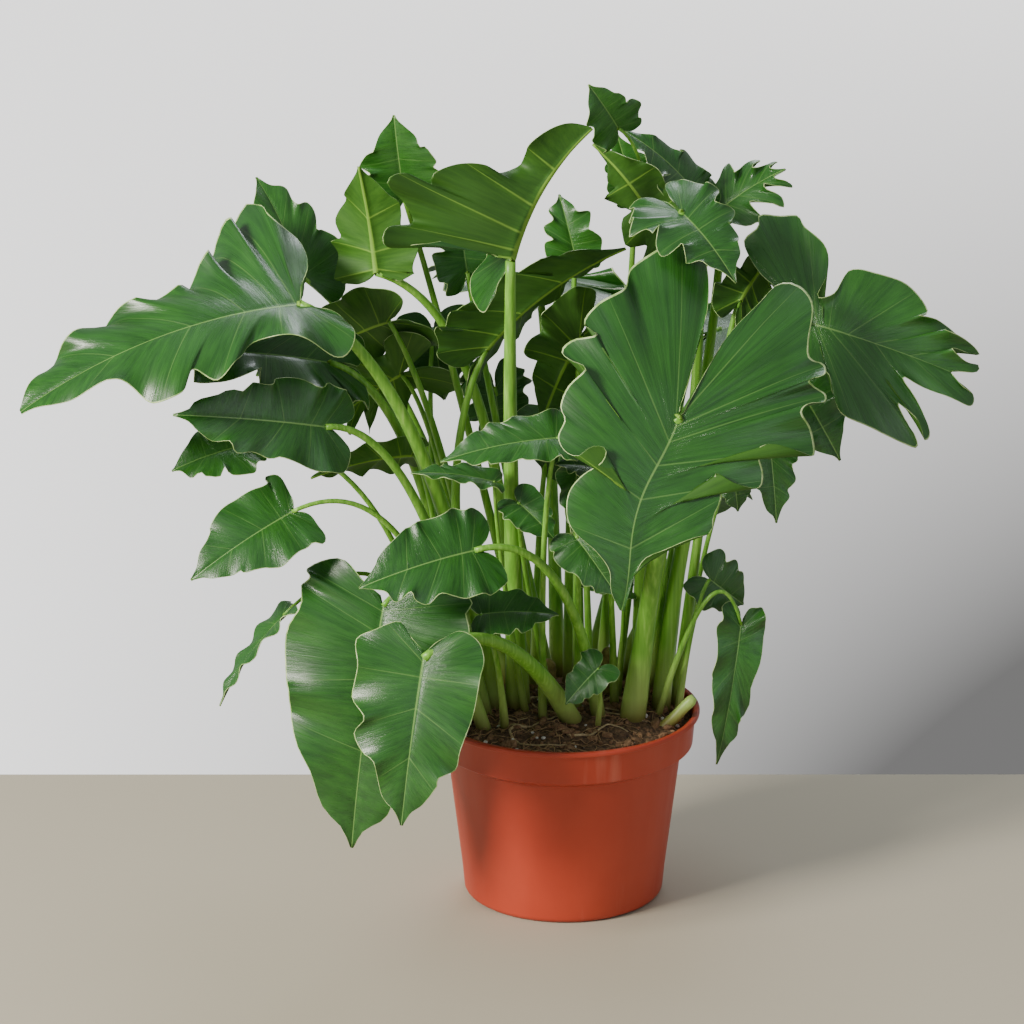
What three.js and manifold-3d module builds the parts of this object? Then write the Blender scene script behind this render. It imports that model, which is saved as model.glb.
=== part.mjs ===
// A potted philodendron: a bushy young plant of long-stalked, wavy-lobed leaves in a plastic nursery pot.
// Millimetres, +Z up. The origin is the centre of the pot's flat underside, and -Y is the plant's front.
import * as THREE from "three";
import { mergeVertices } from "three/addons/utils/BufferGeometryUtils.js";
import Module from "manifold-3d";

const wasm = await Module();
wasm.setup();

// The pot
const potHeight = 145;
const rimRadius = 101.5; // outside, at the lip
const lipDepth = 4; // height of the lip round the top of the rim
const lipOverhang = 3; // how far the lip stands out from the rim band
const rimBand = 27; // height of the rim band, lip included
const rimTaper = 2; // how much the band narrows on its way down
const bandStep = 8.5; // how far the body steps in under the band
const shoulder = 4; // height of that step
const baseRadius = 75;
const baseCorner = 5; // height of the rounded lower corner
const wall = 1.6;
const floorThickness = 2.6;
const potSides = 36;
const drainHoleRadius = 4.5;
const drainHoleCount = 8;
const drainHoleSides = 8;
const footNotchCount = 4; // shallow gaps that let water out under the edge
const footNotchWidth = 22;
const footNotchHeight = 1.5;
const footNotchStart = 127; // degrees from +X

// The soil
const soilDrop = 8; // from the rim down to the soil's edge
const soilMound = 9; // how much higher its middle is
const gap = 0.3; // between pieces that touch
const rootDepth = 9; // how deep each stalk stands in the soil
const pocketClearance = 0.4;

// The plant as drawn in the tables below, and as built
const drawnRimRadius = 101.5;
const drawnFoliageHeight = 470;
const foliageHeight = 470; // from the soil to the highest leaf
const leafThickness = 1.3;
const stalkSides = 5;
const stalkTaper = 0.5; // share of its thickness that a stalk loses on the way up
const stalkScale = 1; // thickness of every stalk, as a multiple of the tables' radius
const stubSides = 7;

const soilEdge = potHeight - soilDrop;
const soilTop = soilEdge + soilMound;
const bodyTop = rimRadius - lipOverhang - rimTaper - bandStep;
const bodyTopHeight = potHeight - rimBand - shoulder;
const degrees = Math.PI / 180;

// Half of a leaf's outline, from the cleft beside the stalk round to the tip.
// Backward distances are shares of the basal lobe, forward ones of the midrib, sideways ones of the half width.
const halfOutline = new THREE.SplineCurve([
  new THREE.Vector2(-0.72, 0.1),
  new THREE.Vector2(-1.0, 0.42),
  new THREE.Vector2(-0.8, 0.84),
  new THREE.Vector2(-0.25, 1.0),
  new THREE.Vector2(0.18, 0.97),
  new THREE.Vector2(0.48, 0.76),
  new THREE.Vector2(0.74, 0.42),
  new THREE.Vector2(0.9, 0.15),
  new THREE.Vector2(1.0, 0.015),
]);

// What the leaves of one age have in common. half and lobe are shares of the midrib's length, arch, fold, curl and
// twist are degrees, notch is how deep the margin is cut, and ruffle how far it waves, as a share of the length.
const kinds = {
  lobed: { half: 0.62, lobe: 0.6, notches: 5, notch: 0.17, ruffle: 0.05, arch: 35, fold: 6, curl: -10, twist: 0,
    stalk: 5, along: 9, across: 4, steps: 5 },
  fingered: { half: 0.62, lobe: 0.6, notches: 6, notch: 0.45, ruffle: 0.03, arch: 25, fold: 4, curl: -10, twist: 0,
    stalk: 5, along: 13, across: 2, steps: 5 },
  heart: { half: 0.46, lobe: 0.3, notches: 4, notch: 0.07, ruffle: 0.04, arch: 30, fold: 8, curl: -12, twist: 0,
    stalk: 3.6, along: 6, across: 4, steps: 5 },
  narrow: { half: 0.28, lobe: 0.14, notches: 4, notch: 0.12, ruffle: 0.05, arch: 25, fold: 12, curl: -8, twist: 0,
    stalk: 2.8, along: 7, across: 2, steps: 5 },
  young: { half: 0.46, lobe: 0.26, notches: 3, notch: 0.12, ruffle: 0.05, arch: 25, fold: 12, curl: -10, twist: 0,
    stalk: 3.6, along: 7, across: 2, steps: 5 },
};

// Each leaf: where its stalk stands in the soil, the point its stalk bends towards, where the blade joins it, the
// blade's tip, and the way the upper side faces. Heights are above the soil.
const leaves = [
  { name: "leaf_front_broad", kind: "lobed", foot: [50, -16], bend: [70, -10, 150], neck: [78, -120, 258],
    tip: [38, -165, 130], face: [0.1, -0.88, 0.45], half: 0.62, lobe: 0.85, stalk: 8 },
  { name: "leaf_right_fingered", kind: "fingered", foot: [72, 6], bend: [90, 0, 270], neck: [176, -18, 300],
    tip: [295, -12, 255], face: [-0.1, -0.8, 0.55], half: 0.56, lobe: 0.4, stalk: 6 },
  { name: "leaf_left_far", kind: "lobed", foot: [-50, 10], bend: [-100, -45, 280], neck: [-190, -60, 325],
    tip: [-385, -118, 262], face: [-0.15, -0.45, 0.88], arch: 40, half: 0.3, lobe: 0.3,
    curl: -35, stalk: 6.5 },
  { name: "leaf_left_bright", kind: "young", foot: [-62, 56], bend: [-110, 104, 240], neck: [-192, 52, 315],
    tip: [-228, 82, 385], face: [0.5, -0.75, 0.4], half: 0.42 },
  { name: "leaf_left_upright", kind: "young", foot: [-34, 30], bend: [-44, 54, 296], neck: [-138, 18, 328],
    tip: [-150, 16, 408], face: [0.1, 0.9, 0.3], half: 0.4, lobe: 0.1, stalk: 5 },
  { name: "leaf_left_under", kind: "heart", foot: [-50, 40], bend: [-90, 35, 222], neck: [-130, 41, 286],
    tip: [-190, 58, 250], face: [0, 0.85, 0.5], half: 0.54, lobe: 0.36, notch: 0.14 },
  { name: "leaf_top_left", kind: "young", foot: [-22, 50], bend: [-90, 55, 285], neck: [-118, 54, 375],
    tip: [-125, 42, 440], face: [-0.1, -0.9, 0.3], half: 0.5 },
  { name: "leaf_left_second", kind: "lobed", foot: [-74, 34], bend: [-100, 15, 240], neck: [-172, 4, 264],
    tip: [-335, -36, 278], face: [-0.1, -0.68, 0.72], fold: 10, half: 0.24, lobe: 0.2 },
  { name: "leaf_left_third", kind: "heart", foot: [-58, -4], bend: [-105, -40, 235], neck: [-172, -74, 238],
    tip: [-278, -112, 258], face: [-0.1, -0.9, 0.42], half: 0.28, lobe: 0.2, stalk: 4.5 },
  { name: "leaf_left_small", kind: "young", foot: [-86, 0], bend: [-125, -34, 232], neck: [-236, -34, 212],
    tip: [-285, -50, 198], face: [-0.2, -0.7, 0.6], stalk: 2.6 },
  { name: "leaf_left_dark", kind: "narrow", foot: [-76, 4], bend: [-98, -2, 190], neck: [-112, -2, 196],
    tip: [-186, -22, 184], face: [0, 0.8, 0.5], half: 0.24 },
  { name: "leaf_left_low", kind: "heart", foot: [-68, -12], bend: [-110, -40, 210], neck: [-198, -60, 170],
    tip: [-270, -90, 128], face: [-0.1, -0.8, 0.55], half: 0.38, lobe: 0.1, stalk: 3 },
  { name: "leaf_left_narrow", kind: "narrow", foot: [-84, 18], bend: [-120, 10, 160], neck: [-205, -62, 92],
    tip: [-252, -85, 30], face: [-0.8, -0.2, 0.55], half: 0.2, stalk: 2.4 },
  { name: "leaf_drooping_large", kind: "heart", foot: [-58, -34], bend: [-100, -50, 140], neck: [-132, -78, 104],
    tip: [-156, -108, -72], face: [-0.15, -0.93, 0.3], half: 0.36, lobe: 0.14, stalk: 4.5 },
  { name: "leaf_drooping_front", kind: "heart", foot: [8, -22], bend: [-45, -100, 120], neck: [-102, -135, 84],
    tip: [-118, -165, -32], face: [-0.1, -0.95, 0.3], half: 0.38, lobe: 0.17, stalk: 6.5 },
  { name: "leaf_centre_left", kind: "heart", foot: [26, -12], bend: [5, -84, 170], neck: [-66, -95, 152],
    tip: [-148, -120, 132], face: [-0.05, -0.8, 0.6], half: 0.4, lobe: 0.2, stalk: 4.5 },
  { name: "leaf_centre_small", kind: "heart", foot: [-44, -32], bend: [-48, -60, 70], neck: [-62, -72, 96],
    tip: [-5, -62, 92], face: [0.05, -0.55, 0.83], half: 0.4, lobe: 0.15, stalk: 2.8 },
  { name: "leaf_centre_bright", kind: "narrow", foot: [-16, -22], bend: [-20, -70, 190], neck: [-6, -94, 236],
    tip: [-90, -107, 222], face: [-0.1, -0.55, 0.8] },
  { name: "leaf_centre_round", kind: "heart", foot: [38, 10], bend: [34, -20, 125], neck: [26, -66, 204],
    tip: [-8, -74, 210], face: [0, -0.5, 0.85], stalk: 2.8 },
  { name: "leaf_centre_down", kind: "narrow", foot: [20, 12], bend: [14, -10, 190], neck: [8, -56, 205],
    tip: [4, -74, 158], face: [0.1, -0.9, 0.4] },
  { name: "leaf_centre_dark", kind: "heart", foot: [-8, 8], bend: [-36, -12, 130], neck: [-34, -38, 170],
    tip: [-8, -50, 146], face: [0, -0.7, 0.7], stalk: 2.8 },
  { name: "leaf_centre_right", kind: "heart", foot: [10, -2], bend: [10, -35, 165], neck: [8, -60, 150],
    tip: [38, -70, 108], face: [-0.1, -0.8, 0.6], half: 0.42, lobe: 0.2, stalk: 2.8 },
  { name: "leaf_low_dark", kind: "heart", foot: [40, 24], bend: [46, 26, 60], neck: [44, 24, 84],
    tip: [12, 20, 86], face: [0, -0.3, 0.95], stalk: 2.4 },
  { name: "leaf_tiny_front", kind: "heart", foot: [24, -34], bend: [28, -48, 35], neck: [24, -54, 48],
    tip: [0, -66, 24], face: [-0.2, -0.85, 0.45], stalk: 2 },
  { name: "leaf_right_round", kind: "heart", foot: [84, -4], bend: [94, -2, 80], neck: [108, 8, 96],
    tip: [134, 14, 74], face: [0, -0.9, 0.3], half: 0.62, lobe: 0.4, stalk: 2.6 },
  { name: "leaf_right_wavy", kind: "narrow", foot: [68, -8], bend: [110, -26, 150], neck: [131, -8, 66],
    tip: [114, -16, -42], face: [0.2, -0.95, 0.2], half: 0.17, notch: 0.35, stalk: 2.2 },
  { name: "leaf_centre_top", kind: "lobed", foot: [-34, 8], bend: [-42, -26, 180], neck: [-40, -50, 354],
    tip: [18, -20, 444], face: [-0.45, 0.55, 0.75], half: 0.64, lobe: 0.16, fold: 46, curl: 8, stalk: 7.5 },
  { name: "leaf_centre_middle", kind: "lobed", foot: [-60, 22], bend: [-102, -14, 190], neck: [-58, 4, 274],
    tip: [44, 28, 344], face: [-0.2, 0.75, 0.6], half: 0.36, lobe: 0.25, fold: 28, stalk: 4.5 },
  { name: "leaf_upper_right", kind: "lobed", foot: [58, 26], bend: [55, 30, 220], neck: [76, 25, 345],
    tip: [20, 45, 418], face: [0.4, 0.75, 0.5], half: 0.5, lobe: 0.32, stalk: 6 },
  { name: "leaf_upper_right_flap", kind: "lobed", foot: [52, 8], bend: [95, -20, 250], neck: [82, -30, 385],
    tip: [120, -66, 342], face: [0.1, -0.6, 0.8], half: 0.55, lobe: 0.5, stalk: 5 },
  { name: "leaf_top_grey", kind: "lobed", foot: [74, 34], bend: [108, 50, 285], neck: [98, 47, 378],
    tip: [36, 54, 430], face: [0.1, -0.45, 0.9], half: 0.34, lobe: 0.2 },
  { name: "leaf_top_tiny", kind: "young", foot: [40, 52], bend: [90, 72, 396], neck: [38, 24, 434],
    tip: [16, 6, 470], face: [0, -0.9, 0.4], stalk: 2.4 },
  { name: "leaf_top_dark", kind: "young", foot: [28, 66], bend: [50, 80, 280], neck: [52, 75, 375],
    tip: [38, 70, 420], face: [-0.2, -0.9, 0.4], half: 0.4 },
  { name: "leaf_right_star", kind: "fingered", foot: [62, 50], bend: [120, 55, 290], neck: [114, 62, 365],
    tip: [162, 66, 395], face: [0.1, -0.5, 0.85] },
  { name: "leaf_right_under", kind: "lobed", foot: [84, 22], bend: [115, 25, 275], neck: [128, 28, 305],
    tip: [158, 34, 345], face: [0.2, 0.8, 0.6], half: 0.5, lobe: 0.4, stalk: 4 },
  { name: "leaf_right_dark", kind: "lobed", foot: [38, 80], bend: [145, 60, 245], neck: [170, 45, 240],
    tip: [205, 35, 180], face: [0.1, -0.95, 0.3], half: 0.5, lobe: 0.4 },
  { name: "leaf_right_drip", kind: "narrow", foot: [50, 68], bend: [130, 60, 235], neck: [152, 40, 200],
    tip: [158, 26, 134], face: [0.1, -0.95, 0.2] },
  { name: "leaf_behind_broad", kind: "heart", foot: [83, 33], bend: [110, 44, 150], neck: [126, 46, 170],
    tip: [130, 42, 138], face: [0, -0.95, 0.3], stalk: 2.4 },
  { name: "leaf_top_left_dark", kind: "young", foot: [-8, 60], bend: [-60, 60, 245], neck: [-72, 50, 320],
    tip: [-84, 58, 378], face: [0.3, -0.8, 0.5] },
  { name: "leaf_back_top", kind: "young", foot: [4, 70], bend: [5, 75, 255], neck: [8, 80, 325],
    tip: [-4, 90, 370], face: [0, -0.9, 0.4] },
  { name: "leaf_back_centre", kind: "lobed", foot: [12, 34], bend: [8, 62, 215], neck: [12, 66, 268],
    tip: [-18, 56, 200], face: [0, 0.8, 0.5], half: 0.5, stalk: 4 },
  { name: "leaf_star_dark", kind: "fingered", foot: [-62, 42], bend: [-90, 66, 205], neck: [-122, 60, 240],
    tip: [-172, 58, 204], face: [0, 0.9, 0.4], half: 0.6, lobe: 0.6, notch: 0.35, stalk: 3 },
  { name: "leaf_behind_left", kind: "heart", foot: [-84, 36], bend: [-106, 66, 190], neck: [-98, 88, 266],
    tip: [-90, 94, 210], face: [0, -0.9, 0.4], half: 0.5, stalk: 3 },
  { name: "leaf_behind_middle", kind: "lobed", foot: [-24, 84], bend: [-34, 116, 150], neck: [-52, 114, 214],
    tip: [-46, 114, 158], face: [0.1, -0.9, 0.35], half: 0.5, lobe: 0.4, stalk: 3 },
  { name: "leaf_behind_stem", kind: "heart", foot: [-22, 66], bend: [-20, 92, 150], neck: [-8, 94, 194],
    tip: [0, 92, 142], face: [-0.1, -0.9, 0.35], half: 0.5, stalk: 3 },
  { name: "leaf_thin_yellow", kind: "narrow", foot: [-28, -6], bend: [-50, -30, 125], neck: [-52, -50, 190],
    tip: [-112, -62, 200], face: [0, -0.4, 0.9], half: 0.2, stalk: 2.4 },
  { name: "leaf_back_left", kind: "lobed", foot: [-40, 66], bend: [-110, 110, 220], neck: [-158, 160, 240],
    tip: [-240, 235, 190], face: [-0.4, 0.5, 0.8], lobe: 0.4 },
  { name: "leaf_back_middle", kind: "lobed", foot: [-4, 84], bend: [-10, 130, 260], neck: [-20, 180, 280],
    tip: [-60, 300, 240], face: [0, 0.5, 0.85] },
  { name: "leaf_back_right", kind: "lobed", foot: [18, 84], bend: [80, 120, 250], neck: [120, 150, 250],
    tip: [200, 250, 210], face: [0.4, 0.5, 0.8] },
  { name: "leaf_back_low", kind: "heart", foot: [60, 62], bend: [80, 120, 140], neck: [90, 150, 130],
    tip: [120, 235, 70], face: [0.2, 0.5, 0.85] },
];

const crowns = [
  { name: "crown_left", at: [-12, 30], radius: 7.5, height: 26 },
  { name: "crown_right", at: [34, 40], radius: 7.5, height: 34 },
];

// Old stalks that were cut back, leaning out over the soil.
const stubs = [
  { name: "stub_front", from: [68, -26, -4], to: [96, -26, 24], radius: 5 },
  { name: "stub_middle", from: [78, 44, -4], to: [90, 54, 34], radius: 3 },
];

function colour(hex, roughness) {
  return new THREE.MeshStandardMaterial({ color: hex, roughness, metalness: 0 });
}
const materials = {
  pot: colour(0xb5472d, 0.45),
  soil: colour(0x4a3626, 0.95),
  leaf: colour(0x2f6b2a, 0.4),
  crown: colour(0x7a6a3a, 0.8),
  stub: colour(0x8fb23f, 0.5),
};

// A closed geometry as a manifold-3d solid, and back.
function solid(geometry) {
  const bare = geometry.clone();
  bare.deleteAttribute("normal");
  bare.deleteAttribute("uv");
  const merged = mergeVertices(bare, 1e-3);
  const mesh = new wasm.Mesh({
    numProp: 3,
    vertProperties: merged.attributes.position.array,
    triVerts: new Uint32Array(merged.index.array),
  });
  return new wasm.Manifold(mesh);
}

function geometryOf(manifold) {
  const mesh = manifold.getMesh();
  const geometry = new THREE.BufferGeometry();
  geometry.setAttribute("position", new THREE.BufferAttribute(mesh.vertProperties, 3));
  geometry.setIndex(new THREE.BufferAttribute(mesh.triVerts, 1));
  geometry.computeVertexNormals();
  return geometry;
}

function reshape(geometry, move) {
  const position = geometry.attributes.position;
  for (let i = 0; i < position.count; i++) {
    const p = move(position.getX(i), position.getY(i), position.getZ(i));
    position.setXYZ(i, p.x, p.y, p.z);
  }
  return geometry;
}

function turned(profile, sides) {
  const points = profile.map(([r, z]) => new THREE.Vector2(r, z));
  return solid(new THREE.LatheGeometry(points, sides).rotateX(Math.PI / 2));
}

function upright(radiusTop, radiusBottom, height, sides) {
  return new THREE.CylinderGeometry(radiusTop, radiusBottom, height, sides).rotateX(Math.PI / 2);
}

// A point of the tables in the pot's frame, with the plant at its drawn size.
function plantPoint([x, y, z]) {
  return new THREE.Vector3(x, y, soilTop + z);
}

// Carries a point of the drawn plant to where it stands: a wider pot spreads the plant, taller foliage stretches it.
function carried(point) {
  point.x *= rimRadius / drawnRimRadius;
  point.y *= rimRadius / drawnRimRadius;
  point.z = soilTop + ((point.z - soilTop) * foliageHeight) / drawnFoliageHeight;
  return point;
}

// Height of the soil's surface, at a share of the rim's radius from the middle.
function soilHeight(share) {
  const out = Math.min(1, share);
  return soilTop - soilMound * out * out;
}

function potSolid() {
  const bandTop = rimRadius - lipOverhang;
  const bandBottom = bandTop - rimTaper;
  const bandBase = potHeight - rimBand;
  const profile = [
    [0, 0],
    [baseRadius - baseCorner, 0],
    [baseRadius - baseCorner * 0.25, baseCorner * 0.3],
    [baseRadius, baseCorner],
    [bodyTop, bodyTopHeight],
    [bandBottom - bandStep * 0.25, bandBase - shoulder * 0.3],
    [bandBottom, bandBase + shoulder],
    [bandTop, potHeight - lipDepth],
    [rimRadius, potHeight - lipDepth * 0.6],
    [rimRadius - 0.5, potHeight],
    [rimRadius - lipOverhang, potHeight],
    [bandTop - wall, potHeight - lipDepth],
    [bandBottom - wall, bandBase + shoulder],
    [bodyTop - wall, bodyTopHeight],
    [baseRadius - wall, baseCorner],
    [baseRadius - baseCorner, floorThickness],
    [0, floorThickness],
  ];
  let pot = turned(profile, potSides);
  for (let i = 0; i < drainHoleCount; i++) {
    const angle = (i * 2 * Math.PI) / drainHoleCount;
    const reach = baseRadius - baseCorner - 2.5 * drainHoleRadius;
    const drill = upright(drainHoleRadius, drainHoleRadius, 4 * floorThickness, drainHoleSides);
    drill.translate(reach * Math.cos(angle), reach * Math.sin(angle), 0);
    pot = pot.subtract(solid(drill));
  }
  for (let i = 0; i < footNotchCount; i++) {
    const cutter = new THREE.BoxGeometry(2 * baseCorner, footNotchWidth, 2 * footNotchHeight);
    cutter.translate(baseRadius, 0, 0);
    cutter.rotateZ(footNotchStart * degrees + (i * 2 * Math.PI) / footNotchCount);
    pot = pot.subtract(solid(cutter));
  }
  return pot;
}

function soilSolid() {
  const bandInside = rimRadius - lipOverhang - rimTaper - wall - gap;
  const bodyInside = bodyTop - wall - gap;
  const baseInside = baseRadius - baseCorner;
  const bandFoot = potHeight - rimBand + shoulder;
  const profile = [
    [0, floorThickness + gap],
    [baseInside, floorThickness + gap],
    [bodyInside, bodyTopHeight + shoulder / 2],
    [bandInside, bandFoot + shoulder / 2],
    [bandInside, soilHeight(bandInside / rimRadius)],
    [bandInside * 0.6, soilHeight((bandInside * 0.6) / rimRadius)],
    [0, soilTop],
  ];
  return turned(profile, potSides);
}

// A tapering round stem bent onto a curve, from share `start` to share `end` of its length.
function stemSolid(curve, radiusAt, sides, steps, start = 0, end = 1) {
  const across = curve.v1.clone().sub(curve.v0).cross(curve.v2.clone().sub(curve.v1));
  if (across.length() < 1) across.set(0, 1, 0);
  across.normalize();
  return solid(reshape(new THREE.CylinderGeometry(1, 1, 1, sides, steps), (x, y, z) => {
    const share = start + (end - start) * (y + 0.5);
    const ahead = curve.getTangent(Math.min(1, Math.max(0, share)));
    const third = across.clone().cross(ahead);
    const radius = radiusAt(share);
    return carried(curve.getPoint(share).addScaledVector(across, x * radius).addScaledVector(third, z * radius));
  }));
}

// The notched margin of a leaf on the flat, at one place between the cleft (row 0) and the tip (row 1).
function marginPoint(leaf, row, hand) {
  const edge = halfOutline.getPoint(row);
  const along = edge.x * leaf.length * (edge.x < 0 ? leaf.lobe : 1);
  const rib = leaf.length * row ** 2;
  const phase = 2 * Math.PI * (leaf.notches * row + 0.12 * hand * Math.sin(Math.PI * row));
  const reach = 1 - leaf.notch * (0.5 - 0.5 * Math.cos(phase));
  return { rib, along: rib + (along - rib) * reach, across: edge.y * leaf.half * leaf.length * reach, phase };
}

// The blade's sheet: arched along the midrib, folded and curled across it, twisted towards the tip.
function sheetPoint(leaf, along, across, hand, lift) {
  const bendRate = leaf.arch / leaf.length;
  const slope = leaf.arch / 2 - bendRate * along;
  const forward = (Math.sin(leaf.arch / 2) - Math.sin(slope)) / bendRate;
  const rise = (Math.cos(slope) - Math.cos(leaf.arch / 2)) / bendRate;
  const normal = leaf.chord.clone().multiplyScalar(-Math.sin(slope)).addScaledVector(leaf.up, Math.cos(slope));
  const turn = (leaf.twist * along) / leaf.length;
  const side = leaf.side.clone().multiplyScalar(Math.cos(turn)).addScaledVector(normal, Math.sin(turn));
  normal.multiplyScalar(Math.cos(turn)).addScaledVector(leaf.side, -Math.sin(turn));
  const curlRate = leaf.curl / (leaf.half * leaf.length);
  const tilt = leaf.fold + curlRate * across;
  const out = (Math.sin(tilt) - Math.sin(leaf.fold)) / curlRate;
  const up = (Math.cos(leaf.fold) - Math.cos(tilt)) / curlRate;
  return leaf.neck.clone()
    .addScaledVector(leaf.chord, forward)
    .addScaledVector(leaf.up, rise)
    .addScaledVector(side, hand * (out - lift * Math.sin(tilt)))
    .addScaledVector(normal, up + lift * Math.cos(tilt));
}

// A leaf blade: one grid above, the same grid below and a rim between them, so that its two sides never cross.
function bladeSolid(leaf) {
  const grid = new THREE.PlaneGeometry(2, 1, leaf.across, leaf.along);
  const sheet = (height) => reshape(grid.clone(), (x, y) => {
    const hand = Math.sign(x);
    const share = Math.abs(x);
    const edge = marginPoint(leaf, y + 0.5, hand);
    const wave = leaf.ruffle * leaf.length * share * share * Math.sin(edge.phase + hand);
    const along = edge.rib + (edge.along - edge.rib) * share;
    return carried(sheetPoint(leaf, along, edge.across * share, hand, wave + height));
  }).attributes.position.array;
  const count = grid.attributes.position.count;
  const upper = Array.from(grid.index.array);
  const triangles = [...upper];
  const edges = new Set();
  for (let i = 0; i < upper.length; i += 3) {
    const [a, b, c] = upper.slice(i, i + 3);
    triangles.push(count + a, count + c, count + b);
    for (const pair of [[a, b], [b, c], [c, a]]) edges.add(pair.join());
  }
  for (const edge of edges) {
    const [a, b] = edge.split(",").map(Number);
    if (edges.has([b, a].join())) continue;
    triangles.push(a, count + a, count + b);
    triangles.push(a, count + b, b);
  }
  const geometry = new THREE.BufferGeometry();
  const corners = new Float32Array([...sheet(leafThickness / 2), ...sheet(-leafThickness / 2)]);
  geometry.setAttribute("position", new THREE.BufferAttribute(corners, 3));
  geometry.setIndex(triangles);
  return solid(geometry);
}

// A row of the table with its kind's values, its points in the pot's frame and its angles in radians.
function grown(row) {
  const leaf = { ...kinds[row.kind], ...row };
  for (const angle of ["arch", "fold", "curl", "twist"]) leaf[angle] *= degrees;
  leaf.neck = plantPoint(row.neck);
  leaf.bend = plantPoint(row.bend);
  leaf.foot = plantPoint([...row.foot, 0]);
  const footHeight = soilHeight(Math.hypot(leaf.foot.x, leaf.foot.y) / drawnRimRadius) - rootDepth;
  leaf.foot.z = soilTop + ((footHeight - soilTop) * drawnFoliageHeight) / foliageHeight;
  leaf.chord = plantPoint(row.tip).sub(leaf.neck);
  const reach = leaf.chord.length();
  leaf.length = (reach * leaf.arch / 2) / Math.sin(leaf.arch / 2);
  leaf.chord.normalize();
  const face = new THREE.Vector3(...row.face);
  leaf.up = face.addScaledVector(leaf.chord, -face.dot(leaf.chord)).normalize();
  leaf.side = leaf.chord.clone().cross(leaf.up);
  leaf.curve = new THREE.QuadraticBezierCurve3(leaf.foot, leaf.bend, leaf.neck);
  leaf.radiusAt = (share) => leaf.stalk * stalkScale * (1 - stalkTaper * share);
  return leaf;
}

const plant = new THREE.Group();
const add = (name, manifold, material) => {
  const mesh = new THREE.Mesh(geometryOf(manifold), material);
  mesh.name = name;
  plant.add(mesh);
};

let soil = soilSolid();

for (const row of leaves) {
  const leaf = grown(row);
  const stalk = stemSolid(leaf.curve, leaf.radiusAt, stalkSides, leaf.steps);
  add(leaf.name, stalk.add(bladeSolid(leaf)), materials.leaf);
  const pocketEnd = (3 * rootDepth) / leaf.curve.getLength();
  const pocket = stemSolid(leaf.curve, (share) => leaf.radiusAt(share) + pocketClearance, stalkSides, 1,
    -pocketClearance / leaf.curve.getLength(), pocketEnd);
  soil = soil.subtract(pocket);
}

for (const crown of crowns) {
  const foot = plantPoint([...crown.at, 0]);
  const height = crown.height + rootDepth;
  const stem = upright(crown.radius * 0.8, crown.radius, height, stubSides);
  stem.translate(foot.x, foot.y, foot.z - rootDepth + height / 2);
  const standing = (geometry) => solid(reshape(geometry, (x, y, z) => carried(new THREE.Vector3(x, y, z))));
  add(crown.name, standing(stem), materials.crown);
  const pocket = upright(crown.radius + pocketClearance, crown.radius + pocketClearance, height, stubSides);
  pocket.translate(foot.x, foot.y, foot.z - rootDepth - pocketClearance + height / 2);
  soil = soil.subtract(standing(pocket));
}

for (const stub of stubs) {
  const from = plantPoint(stub.from);
  const to = plantPoint(stub.to);
  from.z -= rootDepth;
  const line = new THREE.QuadraticBezierCurve3(from, from.clone().lerp(to, 0.5), to);
  add(stub.name, stemSolid(line, (share) => stub.radius * (1 - 0.2 * share), stubSides, 2), materials.stub);
  soil = soil.subtract(stemSolid(line, () => stub.radius + pocketClearance, stubSides, 1, -0.02, 0.6));
}

add("soil", soil, materials.soil);
add("pot", potSolid(), materials.pot);

export default plant;
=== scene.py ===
import math
import random

import bmesh
import bpy
from mathutils import Matrix, Vector, noise


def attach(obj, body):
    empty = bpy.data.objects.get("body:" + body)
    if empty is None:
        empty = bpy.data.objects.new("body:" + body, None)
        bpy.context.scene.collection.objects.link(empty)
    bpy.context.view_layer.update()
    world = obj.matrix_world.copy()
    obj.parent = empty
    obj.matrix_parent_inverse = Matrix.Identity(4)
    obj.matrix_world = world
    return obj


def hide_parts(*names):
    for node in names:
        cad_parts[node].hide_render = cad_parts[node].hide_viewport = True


# A potted philodendron: long-stalked, wavy-lobed leaves crowding out of a terracotta-coloured nursery pot.
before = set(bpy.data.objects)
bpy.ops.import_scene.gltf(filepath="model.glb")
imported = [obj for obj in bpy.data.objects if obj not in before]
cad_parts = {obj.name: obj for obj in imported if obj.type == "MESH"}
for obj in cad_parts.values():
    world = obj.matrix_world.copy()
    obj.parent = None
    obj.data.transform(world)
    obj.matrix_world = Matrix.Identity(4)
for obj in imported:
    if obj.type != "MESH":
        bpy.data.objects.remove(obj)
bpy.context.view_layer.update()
print("frame loaded:", len(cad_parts), "nodes")

mm = 0.001
random.seed(11)


def linear(hexColour):
    parts = [int(hexColour[i : i + 2], 16) / 255 for i in (1, 3, 5)]
    return (*[p / 12.92 if p <= 0.04045 else ((p + 0.055) / 1.055) ** 2.4 for p in parts], 1.0)


# A node with its settings and links. An input given as a socket is linked, and so is a node, by the output it
# has in use. Anything else is set on it, and hex colours turn linear. In a ramp's stops a number is a grey.
def addNode(tree, kind, inputs=None, stops=(), **settings):
    node = tree.nodes.new("ShaderNode" + kind)
    for name, value in settings.items():
        if name in node.bl_rna.properties:
            setattr(node, name, value)
        else:
            node.inputs[name.replace("_", " ")].default_value = value
    for socket, value in (inputs or {}).items():
        if isinstance(value, bpy.types.Node):
            value = next(output for output in value.outputs if output.enabled)
        if isinstance(value, bpy.types.NodeSocket):
            tree.links.new(value, node.inputs[socket])
        else:
            node.inputs[socket].default_value = linear(value) if isinstance(value, str) else value
    elements = node.color_ramp.elements if stops else []
    while len(elements) < len(stops):
        elements.new(0.5)
    for element, (place, colour) in zip(elements, stops):
        element.position = place
        element.color = linear(colour) if isinstance(colour, str) else (colour, colour, colour, 1)
    return node


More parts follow.
